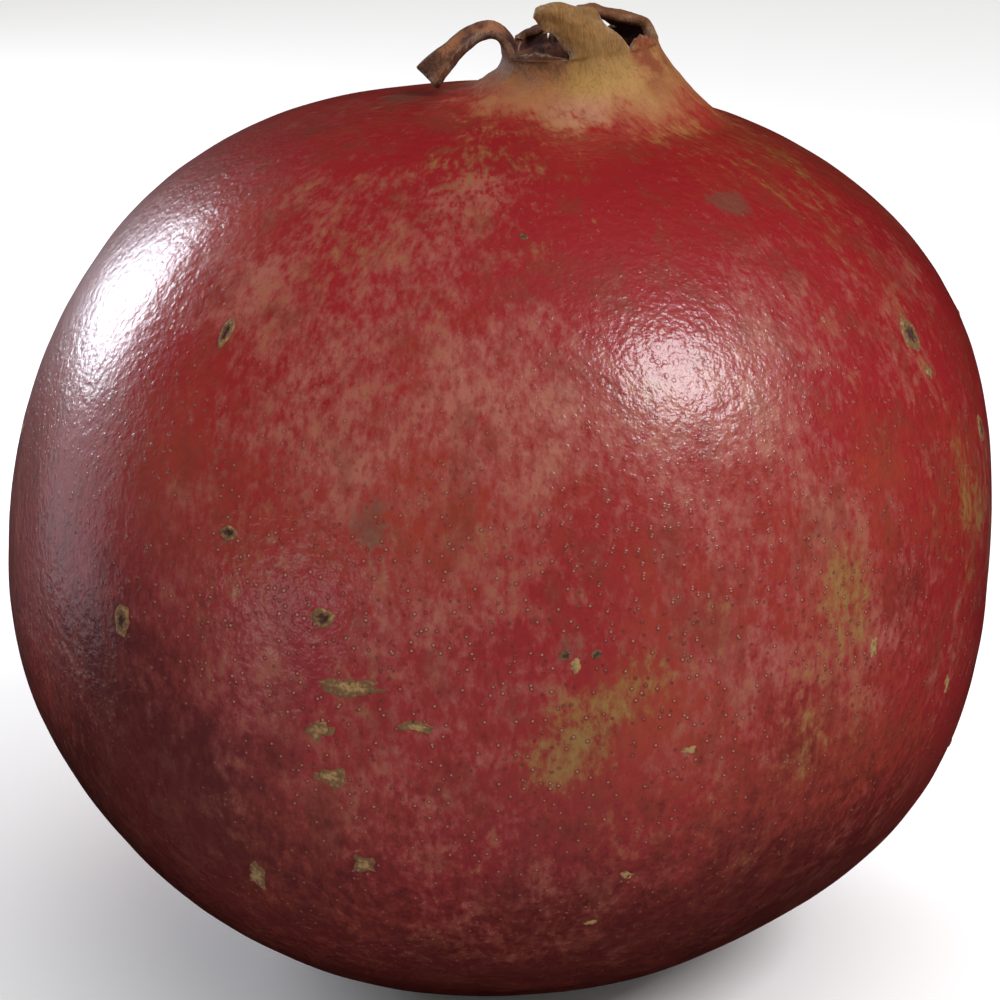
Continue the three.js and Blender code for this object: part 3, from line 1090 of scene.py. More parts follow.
    def dried(
        self, board: Board, place: Socket, cloud: Socket, woven: Socket, colour: Socket, relief: Socket
    ) -> tuple[Socket, Socket]:
        """Browns, cracks and worn edges of the neck and lobes.

        Args:
            board: the material's nodes.
            place: socket of the place in millimetres.
            cloud: socket of the broad noise, about 0.
            woven: socket of the fine noise, about 0.
            colour: socket of the neck's colour.
            relief: socket of the neck's relief.

        Returns:
            Sockets of the colour and of the relief.
        """
        crown = board.mask("crown")
        patch = board.group(self.shared.mottle, Place=place, Size=1.5, Bias=0.5, Softness=0.12)["Mask"]
        dry = board.mix(patch, paint(self.brown), paint(self.rust))
        high = board.step(board.blurred("crown", woven, 1.2), 1.45, 2.2)
        browned = board.math("MULTIPLY", high, board.mask("dried"))
        colour = board.mix(browned, colour, dry)
        redder = board.math("MULTIPLY", board.mask("blush"), board.step(cloud, -0.12, 0.1))
        colour = board.mix(redder, colour, paint(self.flushed))
        crease = board.group(self.shared.wrinkle, Place=board.stretched(place, (1.0, 1.0, 0.24)), Size=0.9)
        dark = board.math("MULTIPLY", crease["Crease"], board.step(crown, 1.0, 1.9, 0.0, 0.45))
        colour = board.mix(dark, colour, paint(self.crack))
        torn = board.math("MULTIPLY", board.mask("edge"), board.step(woven, -0.05, 0.08))
        torn = board.math("MULTIPLY", torn, 0.75)
        colour = board.mix(torn, colour, board.mix(patch, paint(self.crack), paint(self.grey)))
        folds = board.math("MULTIPLY", crease["Height"], board.step(crown, 0.95, 2.2, 0.0, 1.4))
        return colour, board.math("ADD", relief, folds)


@dataclass(frozen=True)
class LiningFinish:
    """Dark inside of the cup and lobes: dried tissue with painted shade in its colour."""

    shared: Weathering
    grain: Grain = Grain(1.0, 5.0)
    # Painted shade: the dark maroon stands in for the shade inside the cup and under the lobes, whose dried
    # tissue would be browner.
    shade: str = "2E1614"
    plum: str = "4D2622"
    rust: str = "6B4028"
    umber: str = "4E2C1C"
    bark: str = "875433"
    roughness: float = 0.7
    relief: float = 0.6
    relief_depth: float = 0.0001

    def material(self) -> bpy.types.Material:
        """Builds the lining's material.

        Returns:
            The material.
        """
        board = Surface("dry_lining")
        place = board.place()
        cloud = board.group(self.shared.mottle, Place=place, Size=1.8, Bias=0.5, Softness=0.14)["Mask"]
        colour = board.mix(cloud, paint(self.shade), paint(self.plum))
        specks = board.step(board.noise(place, self.grain), 0.35, 0.6)
        colour = board.mix(board.math("MULTIPLY", board.mask("edge"), specks), colour, paint(self.rust))
        worn = board.math("MULTIPLY", board.mask("worn"), board.step(board.mask("crown"), 2.1, 2.4))
        colour = board.mix(worn, colour, board.mix(cloud, paint(self.umber), paint(self.bark)))
        crease = board.group(self.shared.wrinkle, Place=board.stretched(place, (1.0, 1.0, 0.5)), Size=1.0)
        board.dress(colour, self.roughness)
        board.emboss(crease["Height"], self.relief, self.relief_depth, "Normal")
        return board.material


@dataclass(frozen=True)
class CorkFinish:
    """Dry corky tissue of the rind's blemishes."""

    shared: Weathering
    grain: Grain = Grain(0.35, 3.0)
    grain_share: float = 1.7
    dark: str = "3A1E12"
    olive: Tint = Tint("664320", 0.05, 0.4)
    pale: Tint = Tint("8E7040", 0.5, 1.05)
    roughness: float = 0.6
    relief: float = 0.6
    relief_depth: float = 0.00006

    def material(self) -> bpy.types.Material:
        """Builds the cork's material.

        Returns:
            The material.
        """
        board = Surface("corky_scars")
        place = board.place()
        grain = board.math("SUBTRACT", board.noise(place, self.grain), 0.5)
        level = board.blurred("pale", grain, self.grain_share)
        colour = board.tint(level, paint(self.dark), self.olive)
        board.dress(board.tint(level, colour, self.pale), self.roughness)
        crease = board.group(self.shared.wrinkle, Place=place, Size=0.4)
        board.emboss(crease["Height"], self.relief, self.relief_depth, "Normal")
        return board.material


@dataclass(frozen=True)
class WitheredFinish:
    """Dry brown threads of the stamens."""

    shared: Weathering
    dark: str = "3B2416"
    light: str = "8A6238"
    roughness: float = 0.8
    relief: float = 0.5
    relief_depth: float = 0.00006

    def material(self) -> bpy.types.Material:
        """Builds the stamens' material.

        Returns:
            The material.
        """
        board = Surface("withered_threads")
        place = board.place()
        cloud = board.group(self.shared.mottle, Place=place, Size=1.0, Bias=0.5, Softness=0.15)["Mask"]
        tip = board.math("MAXIMUM", board.mask("tip"), board.math("MULTIPLY", cloud, 0.6))
        board.dress(board.mix(tip, paint(self.dark), paint(self.light)), self.roughness)
        crease = board.group(self.shared.wrinkle, Place=board.stretched(place, (1.0, 1.0, 0.3)), Size=0.5)
        board.emboss(crease["Height"], self.relief, self.relief_depth, "Normal")
        return board.material


class Layer(Enum):
    """Material numbers of the rind's mesh."""

    RIND = 0
    DRY = 1
    LINING = 2


@dataclass(frozen=True)
class Stains:
    """Patches of the broad changes of the rind's colour, and of the painted shade and shadow laid on it, one
    field for each mask.
    """

    rosy: tuple[Patch, ...] = patches(
        (-8, 30, 19, 0.36), (20, 18, 15, 0.42), (48, 14, 18, 0.3), (42, 34, 12, 0.25), (-36, 47, 10, 0.4),
        (-30, 50, 8, 0.25), (0, 61, 7, 0.4), (-14, 52, 12, 0.1), (6, -6, 20, 0.10), (140, 10, 40, 0.3),
        (-140, 0, 40, 0.3), (0, -48, 22, -0.25),
    )
    ochre: tuple[Patch, ...] = patches(
        (5, -4, 3.2, 0.5), (7.5, -1.5, 3.4, 0.55), (10.5, 1, 3.6, 0.6), (14.5, 5, 3.6, 0.5), (63, 13, 8, 0.5),
        (40, 11, 6, 0.4), (38, -4, 8, 0.25), (18, 4, 6, 0.2), (-30, 49, 8, 0.3), (0, 62, 9, 0.2),
        (-11, 22, 7, 0.3), (11, -11, 8, 0.25), (45, 38, 4, 0.45), (48, 30, 4, 0.5), (46, 22, 3.4, 0.45),
        (69, 60, 8, 0.4), (-27, 15, 5, 0.25), (170, 0, 30, 0.2), (-120, 20, 20, 0.25),
    )
    red: tuple[Patch, ...] = patches(
        (64, -2, 14, 0.35), (70, 28, 12, 0.2), (20, 58, 20, 0.30), (-30, 62, 18, 0.26), (-16, 4, 8, 0.25),
        (-27, 33, 8, 0.25), (56, 36, 16, 0.2), (4, 10, 8, 0.2), (-6, -14, 14, 0.25), (100, -20, 30, 0.3),
    )
    # Smudges on the rind; the patch at azimuth -90, latitude 79 is the painted shadow of the strap's tip.
    smudge_and_shadow: tuple[Patch, ...] = patches(
        (-13.4, 20.3, 2.4, 0.9), (-12.5, 23.5, 2.0, 0.6), (43, 53.5, 2.2, 0.9), (46, 53, 2.0, 0.8),
        (-90, 79, 3.0, 1.0), (-30, 26, 3.0, 0.4), (7.5, 9, 2.6, 0.5), (30, -14, 3.0, 0.4),
    )
    plum: tuple[Patch, ...] = patches(
        (-46, 8, 15, 0.75), (-20, 11, 6, 0.35), (-27, -4, 10, 0.45), (8, -13, 9, 0.35), (32, -16, 9, 0.35),
    )
    # Mostly painted shade: the underside, the lower left and the left side are darkened where the light falls
    # off, among a few darker patches of the rind.
    dark: tuple[Patch, ...] = patches(
        (-38, -12, 15, 0.75), (-61, -33, 24, 1.0), (-42, 4, 12, 0.45), (-10, -34, 22, 0.6),
        (26, -28, 18, 0.65), (50, -24, 16, 0.5), (50, 8, 6, 0.4), (31, -4, 6, 0.3), (0, -90, 44, 1.0),
        (-88, 0, 26, 0.5),
    )
    flush: tuple[Patch, ...] = patches((72, 64, 5, 0.6), (-50, 83, 5, 0.35), (-100, 80, 8, 0.3))
    pink: tuple[Patch, ...] = patches((34, 73, 3.6, 0.5))


@dataclass
class Rind:
    """Rind, neck, cup and lobes of the calyx as one grown piece."""

    form: FruitForm
    stains: Stains = field(default_factory=Stains)
    columns: int = 40
    body_rows: int = 190
    neck_rows: int = 26
    cup_rows: int = 22
    lobe_rows: int = 26
    edge_steps: int = 4
    masks: tuple[str, ...] = (
        "crown", "edge", "stem", "dried", "worn", "yellow", "blush", "dotted", "rosy", "ochre", "red",
        "smudge_and_shadow", "plum", "dark", "flush", "pink",
    )
    base_rings: tuple[float, ...] = (0.5, 1.0, 1.5, 1.9, 2.1, 2.3, 2.6, 2.9, 3.2, 3.5, 4.2, 5.0, 6.0, 7.0)
    relief_depth: float = 0.22
    hollows: tuple[tuple[float, float], ...] = ((0.13, 15.0), (0.06, 6.0))
    pits: tuple[float, float] = (0.03, 2.4)
    lifted_above: float = 6.0
    collar_angle: float = 14.0
    stem_radius: float = 3.3
    streak_radius: float = 49.0
    streak_length: float = 9.0
    bumps: tuple[tuple[float, float], ...] = ((0.28, 2.0), (0.14, 1.0), (0.06, 0.5))
    bumps_in: float = 0.27
    cup_folds: tuple[float, float] = (0.12, 1.3)
    hem_swell: float = 0.38

    def azimuths(self) -> np.ndarray:
        """Azimuths of all columns in radians, closer where a lobe is narrow."""
        parts = [np.linspace(lobe.start, lobe.end, self.columns + 1)[:-1] for lobe in LOBES]
        return np.radians(np.concatenate(parts))

    def relief(self, points: np.ndarray, outward: np.ndarray, crown: np.ndarray) -> np.ndarray:
        """Moves points in by natural unevenness, never out of the smooth form by much.

        Args:
            points: places on the smooth form.
            outward: outward directions there.
            crown: 0 on the body, 1 at the neck's foot, 2 at the rim.

        Returns:
            The moved points.
        """
        wide, fine = Noise(3), Noise(8)
        depth = self.relief_depth + wide.layers(points, *self.hollows) + fine.layers(points, self.pits)
        standing = np.clip(points[..., 2] / self.lifted_above, 0, 1)
        folds = 0.16 * fine(points * (1, 1, 0.45), 1.7) + 0.08 * fine(points * (1, 1, 0.6), 0.8)
        folds = smooth(crown - 0.6) * folds
        return points - outward * (depth * standing * (1 - 0.5 * smooth(crown - 1)) + folds)[..., None]

    def round_lobes(self, name: str) -> np.ndarray:
        """One of the lobes' values at every column, eased where lobes meet.

        Args:
            name: the value's field.

        Returns:
            The values, one a column.
        """
        values = np.repeat([getattr(lobe, name) for lobe in LOBES], self.columns)
        reach = self.columns // 6
        window = np.hanning(2 * reach + 3)[1:-1]
        padded = np.concatenate([values[-reach:], values, values[:reach]])
        return np.convolve(padded, window / window.sum(), mode="valid")

    def stained(self, points: np.ndarray, far: np.ndarray, crown: np.ndarray) -> dict[str, np.ndarray]:
        """Values of the rind's masks.

        Args:
            points: places on the rind.
            far: directions of the places from the core.
            crown: 0 on the body, 1 at the neck's foot, 2 at the rim.

        Returns:
            Each mask's name and values.
        """
        cloudy, patchy, streaky = Noise(41), Noise(42), Noise(43)
        flat = np.maximum(np.hypot(far[..., 0], far[..., 1]), 0.02)
        angle = np.arccos(np.clip(far[..., 2], -1, 1))
        x, y = (far[..., axis] / flat * self.streak_radius for axis in (0, 1))
        along = places(x, y, angle * self.streak_length)
        streak = streaky.layers(along, (1.0, 2.6), (0.6, 1.4))
        broad = cloudy.layers(points, (1.0, 12.0), (0.6, 6.0))
        blotch = patchy.layers(points, (1.0, 8.0), (0.6, 4.0))
        side = 0.35 + 0.65 * smooth(far[..., 0] * 1.4 + 0.1)
        masks = {
            "rosy": 0.02 + 0.32 * broad + 0.20 * streak * side,
            "ochre": 0.22 * blotch + 0.24 * streak * side,
            "red": 0.16 * patchy(points[..., ::-1], 9.0),
            "plum": 0.05 * blotch,
            "smudge_and_shadow": 0.12 * blotch,
            "dark": 0.10 * cloudy(points[..., ::-1], 10.0),
            "flush": 0.0,
            "pink": 0.0,
        }
        for name, noise in masks.items():
            masks[name] = sum(patch.over(far) for patch in getattr(self.stains, name)) + noise
        masks["plum"] = np.clip(masks["plum"], 0, 1)
        upright = 0.3 + 0.7 * smooth(1.1 - far[..., 2] * 1.6)
        # Fewer lenticels show where the dark mask's painted shade lies.
        masks["dotted"] = upright * (1 - 0.75 * np.clip(masks["dark"], 0, 1))
        for name, start, length in (("yellow", 1.2, 0.6), ("blush", 1.35, 0.5), ("dried", 1.4, 0.6)):
            masks[name] = smooth((crown - start) / length) * self.round_lobes(name)
        return masks

    def outside(self, shell: Shell, azimuths: np.ndarray) -> np.ndarray:
        """Adds the body and the neck.

        Args:
            shell: mesh to add to.
            azimuths: azimuths of the columns.

        Returns:
            Point numbers, rows by columns, from the stem to the rim.
        """
        form = self.form
        foot = math.radians(form.neck_angle)
        low = math.pi - np.arctan(np.array(self.base_rings) / form.base_height)
        angles = np.concatenate([low, np.linspace(low[-1], foot, self.body_rows + 1)[1:-1]])
        turn, angle = np.meshgrid(azimuths, angles)
        climb = np.linspace(0, 1, self.neck_rows + 1)
        turn_neck, t = np.meshgrid(azimuths, climb)
        points = np.vstack([form.skin(angle, turn), form.neck(t, turn_neck)])
        collar = np.clip(1 - (angles - foot) / math.radians(self.collar_angle), 0, 1)
        crown = np.broadcast_to(np.concatenate([collar, 1 + climb])[:, None], points.shape[:2])
        beside = np.gradient(np.concatenate([points[:, -1:], points, points[:, :1]], axis=1), axis=1)[:, 1:-1]
        outward = unit(np.cross(beside, np.gradient(points, axis=0)))
        points = self.relief(points, outward, crown)
        far = unit(points - form.core)
        x = points[..., 0] - form.centre[0] + form.shear * form.base_height
        distance = np.hypot(x, points[..., 1] - form.centre[1])
        stem = smooth((self.stem_radius - distance) / 0.8) * (points[..., 2] < 2)
        return shell.add(points, crown=crown, stem=stem, **self.stained(points, far, crown))

    def cup(self, shell: Shell, azimuths: np.ndarray) -> np.ndarray:
        """Adds the inside of the cup.

        Args:
            shell: mesh to add to.
            azimuths: azimuths of the columns.

        Returns:
            Point numbers, rows by columns, from the rim's inner edge down.
        """
        strength, size = self.cup_folds
        turn, t = np.meshgrid(azimuths, np.linspace(0, 1, self.cup_rows + 1)[:-1])
        points = self.form.cup(t, turn)
        inward = unit(self.form.middle - self.form.up * 4 - points)
        folds = Noise(21)(points * (1, 1, 0.4), size) * smooth(t * 4)
        inside = shell.add(points + inward * (strength * folds)[..., None], crown=2.0, edge=smooth(1 - t * 5))
        floor = shell.add(self.form.cup(np.array([1.0]), np.array([0.0])), crown=2.0)[0]
        shell.sheet(inside, Layer.LINING.value, closed=True)
        shell.cap(inside[-1][::-1], floor, Layer.LINING.value)
        return inside

    def lobe(
        self,
        shell: Shell,
        lobe: CalyxLobe,
        first: int,
        rim: tuple[np.ndarray, np.ndarray],
        notches: tuple[np.ndarray, np.ndarray],
    ) -> None:
        """Adds one lobe on the rim.

        Args:
            shell: mesh to add to.
            lobe: its sizes.
            first: number of its first column.
            rim: point numbers of the rim's outer and inner edge.
            notches: point numbers between the rim's outer and inner edge, at the lobe's start and end.
        """
        roots = (first + np.arange(self.columns + 1)) % len(rim[0])
        sheet = LobeSheet(self.form, lobe, self.lobe_rows, self.columns, Noise(31))
        rise = smooth(sheet.length * 2.5)[:, None, None] * unit(sheet.outer - sheet.inner)
        bumps = (Noise(12).layers(sheet.outer, *self.bumps) - self.bumps_in)[..., None]
        outer = sheet.outer + rise * bumps
        inner = sheet.inner + rise * (0.7 * bumps)
        edge = np.maximum(np.abs(sheet.width)[None, :] ** 5, (sheet.length[:, None]) ** 8)[1:]
        crown = 2 + sheet.length[1:, None]
        top = shell.add(outer[1:], crown=crown, edge=edge * lobe.torn, **lobe.tones)
        under = shell.add(inner[1:], crown=crown, edge=edge, worn=lobe.worn, **lobe.tones)
        top = np.vstack([rim[0][roots][None], top])
        under = np.vstack([rim[1][roots][None], under])
        shell.sheet(top, Layer.DRY.value)
        shell.sheet(under[:, ::-1], Layer.LINING.value)
        self.hem(shell, lobe, sheet, (outer, inner), (top, under), notches)

    def hem(
        self,
        shell: Shell,
        lobe: CalyxLobe,
        sheet: LobeSheet,
        points: tuple[np.ndarray, np.ndarray],
        numbers: tuple[np.ndarray, np.ndarray],
        notches: tuple[np.ndarray, np.ndarray],
    ) -> None:
        """Rounds a lobe's edge between its outer and inner face.

        Args:
            shell: mesh to add to.
            lobe: its sizes.
            sheet: its faces.
            points: points of the outer and inner face.
            numbers: point numbers of the outer and inner face.
            notches: shared point numbers at the lobe's two ends of the rim.
        """
        rows, columns = self.lobe_rows, self.columns
        (outer, inner), (top, under) = points, numbers
        right = [(i, columns) for i in range(1, rows + 1)]
        tip = [(rows, c) for c in range(columns - 1, 0, -1)]
        left = [(i, 0) for i in range(rows, 0, -1)]
        i, c = np.array(right + tip + left).T
        side = np.where(c == 0, -1, np.where(c == columns, 1, 0))
        beside = unit(np.gradient(outer, axis=1)[i, c] * side[:, None])
        ahead = unit(np.gradient(outer, axis=0)[i, c] * (i == rows)[:, None])
        away = unit(beside + ahead)
        thick = np.linalg.norm(outer[i, c] - inner[i, c], axis=-1)
        swell = self.hem_swell * thick * smooth(sheet.length[i] * 3)
        share = np.linspace(0, 1, self.edge_steps + 1)[1:-1, None]
        round_edge = away[None] * (swell * np.sin(math.pi * share))[..., None]
        band = outer[i, c] * (1 - share)[..., None] + inner[i, c] * share[..., None] + round_edge
        middle = shell.add(band, crown=2 + sheet.length[i][None], edge=lobe.torn, **lobe.tones)
        start = np.concatenate([[top[0, -1]], notches[1], [under[0, -1]]])
        stop = np.concatenate([[top[0, 0]], notches[0], [under[0, 0]]])
        ring = np.vstack([top[i, c][None], middle, under[i, c][None]])
        ring = np.concatenate([start[:, None], ring, stop[:, None]], axis=1)
        shell.sheet(ring[::-1], Layer.DRY.value)

    def notches(self, shell: Shell) -> list[np.ndarray]:
        """Adds the points across the rim's edge at the start of each lobe.

        Args:
            shell: mesh to add to.

        Returns:
            Point numbers from the rim's outer to its inner edge, for each lobe.
        """
        share = np.linspace(0, 1, self.edge_steps + 1)[1:-1, None]
        rows = []
        for lobe in LOBES:
            at = np.array([math.radians(lobe.start)])
            points = self.form.rim_at(at) * (1 - share) + self.form.cup(np.array([0.0]), at) * share
            rows.append(shell.add(points, crown=2.0, edge=lobe.torn, dried=lobe.dried))
        return rows

    def build(self, rind: RindFinish, lining: bpy.types.Material) -> bpy.types.Object:
        """Builds the whole piece.

        Args:
            rind: finish of the outside.
            lining: material of the inside.

        Returns:
            The piece, riding on the fruit's body in place of the plain solid.
        """
        shell = Shell(self.masks)
        azimuths = self.azimuths()
        outside = self.outside(shell, azimuths)
        foot = len(self.base_rings) + self.body_rows - 1
        shell.sheet(outside[: foot + 1], Layer.RIND.value, closed=True)
        shell.sheet(outside[foot:], Layer.DRY.value, closed=True)
        stem = shell.add(self.form.skin(np.array([math.pi]), np.array([0.0])), stem=1.0)[0]
        shell.cap(outside[0], stem, Layer.RIND.value)
        inside = self.cup(shell, azimuths)
        notches = self.notches(shell)
        rim = (outside[-1], inside[0])
        for number, lobe in enumerate(LOBES):
            ends = (notches[number], notches[(number + 1) % len(LOBES)])
            self.lobe(shell, lobe, number * self.columns, rim, ends)
        piece = shell.mesh("rind", [*rind.materials(), lining])
        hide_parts("fruit")
        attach(piece, BODY)
        LOG.info("rind: %d faces, lobes %s", len(shell.faces), ", ".join(lobe.name for lobe in LOBES))
        return piece


@dataclass(frozen=True)
class Cork:
    """How pale a mark's middle and border are, how far each stands out, and how ragged its outline is."""

    middle_tone: float
    border_tone: float
    middle_height: float
    border_height: float
    ragged: float


class Kind(Enum):
    """Kinds of blemish."""

    PIT = Cork(0.0, 0.62, 0.03, 0.09, 0.25)
    FLAKE = Cork(0.85, 0.5, 0.06, 0.02, 0.8)
    FLECK = Cork(1.0, 0.8, 0.05, 0.01, 0.5)
    SPECK = Cork(0.1, 0.3, 0.04, 0.02, 0.5)


@dataclass(frozen=True)
class Blemish:
    """One corky mark, by azimuth and latitude in degrees, with its half width and half height."""

    kind: Kind
    azimuth: float
    latitude: float
    wide: float
    tall: float


BLEMISHES = (
    Blemish(Kind.PIT, -29, 19, 0.7, 0.6),
    Blemish(Kind.PIT, -18, 12, 0.95, 0.75),
    Blemish(Kind.PIT, -41, 8, 0.8, 1.3),
    Blemish(Kind.PIT, -61, -33, 0.9, 1.4),
    Blemish(Kind.FLAKE, -27, -19, 0.9, 1.6),
    Blemish(Kind.FLAKE, -14, -16, 0.9, 1.0),
    Blemish(Kind.FLECK, 15, -17, 0.7, 0.5),
    Blemish(Kind.FLECK, 12, -25, 0.6, 0.4),
    Blemish(Kind.FLAKE, -15, 5, 2.6, 0.7),
    Blemish(Kind.FLAKE, -18, 0, 1.2, 0.9),
    Blemish(Kind.FLAKE, -17, -5, 1.4, 0.9),
    Blemish(Kind.FLAKE, -8, 1, 1.4, 0.6),
    Blemish(Kind.FLECK, 20, -2, 0.8, 0.35),
    Blemish(Kind.SPECK, 7, 9, 0.6, 0.45),
    Blemish(Kind.SPECK, 10, 9, 0.4, 0.5),
    Blemish(Kind.FLECK, 8, 8, 0.5, 0.7),
    Blemish(Kind.FLECK, 44, 4, 0.45, 0.9),
    Blemish(Kind.FLECK, 60, -5, 0.5, 0.9),
    Blemish(Kind.SPECK, 3, 52, 0.4, 0.35),
    Blemish(Kind.PIT, -36, 38, 0.5, 1.2),
)


@dataclass
class Blemishes:
    """Corky pits, flakes and flecks that grew on the rind."""

    rind: Rind
    rings: int = 9
    spokes: int = 28
    scattered: int = 46
    radius: float = 47.0
    border: float = 1.15
    grain: tuple[float, float] = (0.07, 0.4)
    dip: float = 0.16
    lift: float = 0.015
    seed: int = 77

    def everywhere(self) -> list[Blemish]:
        """Scatters small marks over the sides and back.

        Returns:
            The named marks and the scattered ones.
        """
        draw = np.random.default_rng(self.seed)
        marks = list(BLEMISHES)
        for _ in range(self.scattered):
            kind = draw.choice([Kind.FLAKE, Kind.FLECK, Kind.SPECK, Kind.PIT], p=[0.3, 0.4, 0.2, 0.1])
            azimuth, latitude = draw.uniform(52, 308), draw.uniform(-60, 50)
            wide = draw.uniform(0.4, 1.2)
            marks.append(Blemish(kind, azimuth, latitude, wide, wide * draw.uniform(0.6, 1.4)))
        return marks

    def directions(self, mark: Blemish, share: np.ndarray, noise: Noise) -> np.ndarray:
        """Directions from the core to the points of a mark.

        Args:
            mark: the mark.
            share: distance of each ring from the mark's middle, 0 to 1, one a row.
            noise: noise for its outline.

        Returns:
            Grid of directions, rings by spokes.
        """
        middle = Patch(mark.azimuth, mark.latitude, 1, 1).centre()
        east = unit(np.array([-middle[1], middle[0], 0.0]))
        north = np.cross(middle, east)
        turn = np.radians(np.arange(self.spokes) * 360 / self.spokes)[None]
        seat = np.array([mark.azimuth, mark.latitude, 0.0])
        outline = noise(places(np.cos(turn) * 2.2, np.sin(turn) * 2.2, share * 1.2) + seat, 1.0)
        span = share * (self.border + mark.kind.value.ragged * outline) / self.radius
        aside = (span * np.cos(turn) * mark.wide)[..., None] * east
        return unit(middle + aside + (span * np.sin(turn) * mark.tall)[..., None] * north)

    def patch(self, shell: Shell, mark: Blemish, noise: Noise) -> None:
        """Adds one mark as a thin patch whose ragged border dips under the skin.

        Args:
            shell: mesh to add to.
            mark: the mark.
            noise: noise for its outline and height.
        """
        form = self.rind.form
        cork = mark.kind.value
        strength, size = self.grain
        share = np.linspace(0, 1, self.rings + 1)[:, None]
        points = form.surface(self.directions(mark, share, noise))
        outward = unit(points - form.core)
        rise = cork.middle_height + (cork.border_height - cork.middle_height) * smooth(share * 1.6)
        rise = rise + strength * noise(points, size) * (share > 0) - self.dip * smooth((share - 0.72) / 0.28)
        points = self.rind.relief(points, outward, np.zeros(points.shape[:-1]))
        points = points + outward * (rise + self.lift)[..., None]
        tone = cork.middle_tone + (cork.border_tone - cork.middle_tone) * smooth(share * 1.8 - 0.3)
        numbers = shell.add(points[1:], pale=tone[1:])
        core = shell.add(points[0, :1], pale=tone[0])[0]
        shell.sheet(numbers[::-1], 0, closed=True)
        shell.cap(numbers[0][::-1], core, 0)

    def build(self, cork: bpy.types.Material) -> bpy.types.Object:
        """Builds all marks as one piece.

        Args:
            cork: their material.

        Returns:
            The piece, riding on the fruit's body.
        """
        shell = Shell(("pale",))
        noise = Noise(9)
        for mark in self.everywhere():
            self.patch(shell, mark, noise)
        piece = shell.mesh("blemishes", [cork])
        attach(piece, BODY)
        LOG.info("blemishes: %d faces", len(shell.faces))
        return piece


@dataclass
class Stamens:
    """Tuft of withered stamens round the style, low in the cup.

    Each ring has its radius, its number of threads, their length and how far they lean out. The saucer has
    radii and heights from its underside over its edge to its top.
    """

    form: FruitForm
    rings: tuple[tuple[float, int, float, float], ...] = (
        (3.45, 22, 2.5, 0.35), (2.8, 18, 2.9, 0.15), (2.1, 13, 3.1, 0.0), (1.4, 8, 2.9, -0.1),
    )
    foot: float = -7.15
    thread: float = 0.13
    anther: float = 0.22
    thread_sides: int = 6
    style_length: float = 3.3
    style_radii: tuple[float, float] = (0.55, 0.3)
    stigma: float = 0.3
    style_sides: int = 10
    steps: int = 8
    saucer: tuple[tuple[float, float], ...] = (
        (1.0, -8.44), (1.9, -8.4), (2.6, -8.17), (3.2, -7.9), (3.7, -7.58), (4.0, -7.3), (3.95, -7.05),
        (3.75, -6.92), (3.0, -6.86), (2.0, -6.84), (1.0, -6.82),
    )
    saucer_sides: int = 36
    saucer_tone: float = 0.2
    seed: int = 5

    def stand(self, points: np.ndarray) -> np.ndarray:
        """Turns points from the calyx's frame into the fruit's."""
        axes = np.array([self.form.right, self.form.back, self.form.up])
        return self.form.middle + points @ axes

    def tube(self, shell: Shell, path: np.ndarray, radii: np.ndarray, sides: int, tip: np.ndarray) -> None:
        """Adds a closed tube along a path in the calyx's frame.

        Args:
            shell: mesh to add to.
            path: points of the tube's middle.
            radii: radius at each point.
            sides: number of sides.
            tip: value of the tip mask at each point.
        """
        turn = np.linspace(0, 2 * math.pi, sides, endpoint=False)
        ring = np.stack([np.cos(turn), np.sin(turn), np.zeros(sides)], -1)
        numbers = shell.add(self.stand(path[:, None] + radii[:, None, None] * ring[None]), tip=tip[:, None])
        shell.sheet(numbers, 0, closed=True)
        shell.cap(numbers[0], shell.add(self.stand(path[:1]), tip=tip[:1])[0], 0)
        end = shell.add(self.stand(path[-1:] + (0, 0, radii[-1] * 0.7)), tip=tip[-1:])[0]
        shell.cap(numbers[-1][::-1], end, 0)

    def bead(self, t: np.ndarray, place: float, width: float) -> np.ndarray:
        """Swelling along a thread, 1 at its place."""
        return np.exp(-(((t - place) / width) ** 2))

    def threads(self, shell: Shell, draw: np.random.Generator, t: np.ndarray) -> None:
        """Adds the rings of single threads, each with a bead near its end.

        Args:
            shell: mesh to add to.
            draw: source of the seeded random numbers.
            t: positions along a thread, 0 to 1.
        """
        bead = self.bead(t, 0.93, 0.07)
        radii = self.thread * (1 - 0.3 * t) + self.anther * bead
        for radius, count, length, lean in self.rings:
            for number in range(count):
                a = 2 * math.pi * (number + draw.uniform(-0.3, 0.3)) / count
                out = radius + (lean + draw.uniform(-0.35, 0.3)) * t**2
                swing = draw.uniform(-0.7, 0.7) * t**2
                tall = self.foot + length * draw.uniform(0.75, 1.02) * t
                x, y = out * math.cos(a) - swing * math.sin(a), out * math.sin(a) + swing * math.cos(a)
                self.tube(shell, np.stack([x, y, tall], -1), radii, self.thread_sides, bead)

    def build(self, withered: bpy.types.Material) -> bpy.types.Object:
        """Builds the tuft.

        Args:
            withered: its material.

        Returns:
            The piece, riding on the fruit's body in place of the plain solid.
        """
        shell = Shell(("tip",))
        radii, heights = np.array(self.saucer).T
        path = np.stack([0 * heights, 0 * heights, heights], -1)
        self.tube(shell, path, radii, self.saucer_sides, np.full(len(heights), self.saucer_tone))
        t = np.linspace(0, 1, self.steps + 1)
        self.threads(shell, np.random.default_rng(self.seed), t)
        bead = self.bead(t, 0.95, 0.08)
        path = np.stack([0.5 * t**2, 0.2 * t, self.foot + self.style_length * t], -1)
        root, end = self.style_radii
        self.tube(shell, path, root + (end - root) * t + self.stigma * bead, self.style_sides, bead)
        piece = shell.mesh("stamen_tuft", [withered])
        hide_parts("stamens")
        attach(piece, BODY)
        LOG.info("stamens: %d faces", len(shell.faces))
        return piece


@dataclass(frozen=True)
class Softbox:
    """A square studio light, placed by the direction from the fruit and aimed at it, in metres."""

    name: str
    direction: tuple[float, float, float]
    distance: float
    size: float
    radiance: float
    tint: str = "FFFFFF"

    @property
    def power(self) -> float:
        """Power that gives its face the radiance."""
        return self.radiance * math.pi * self.size**2


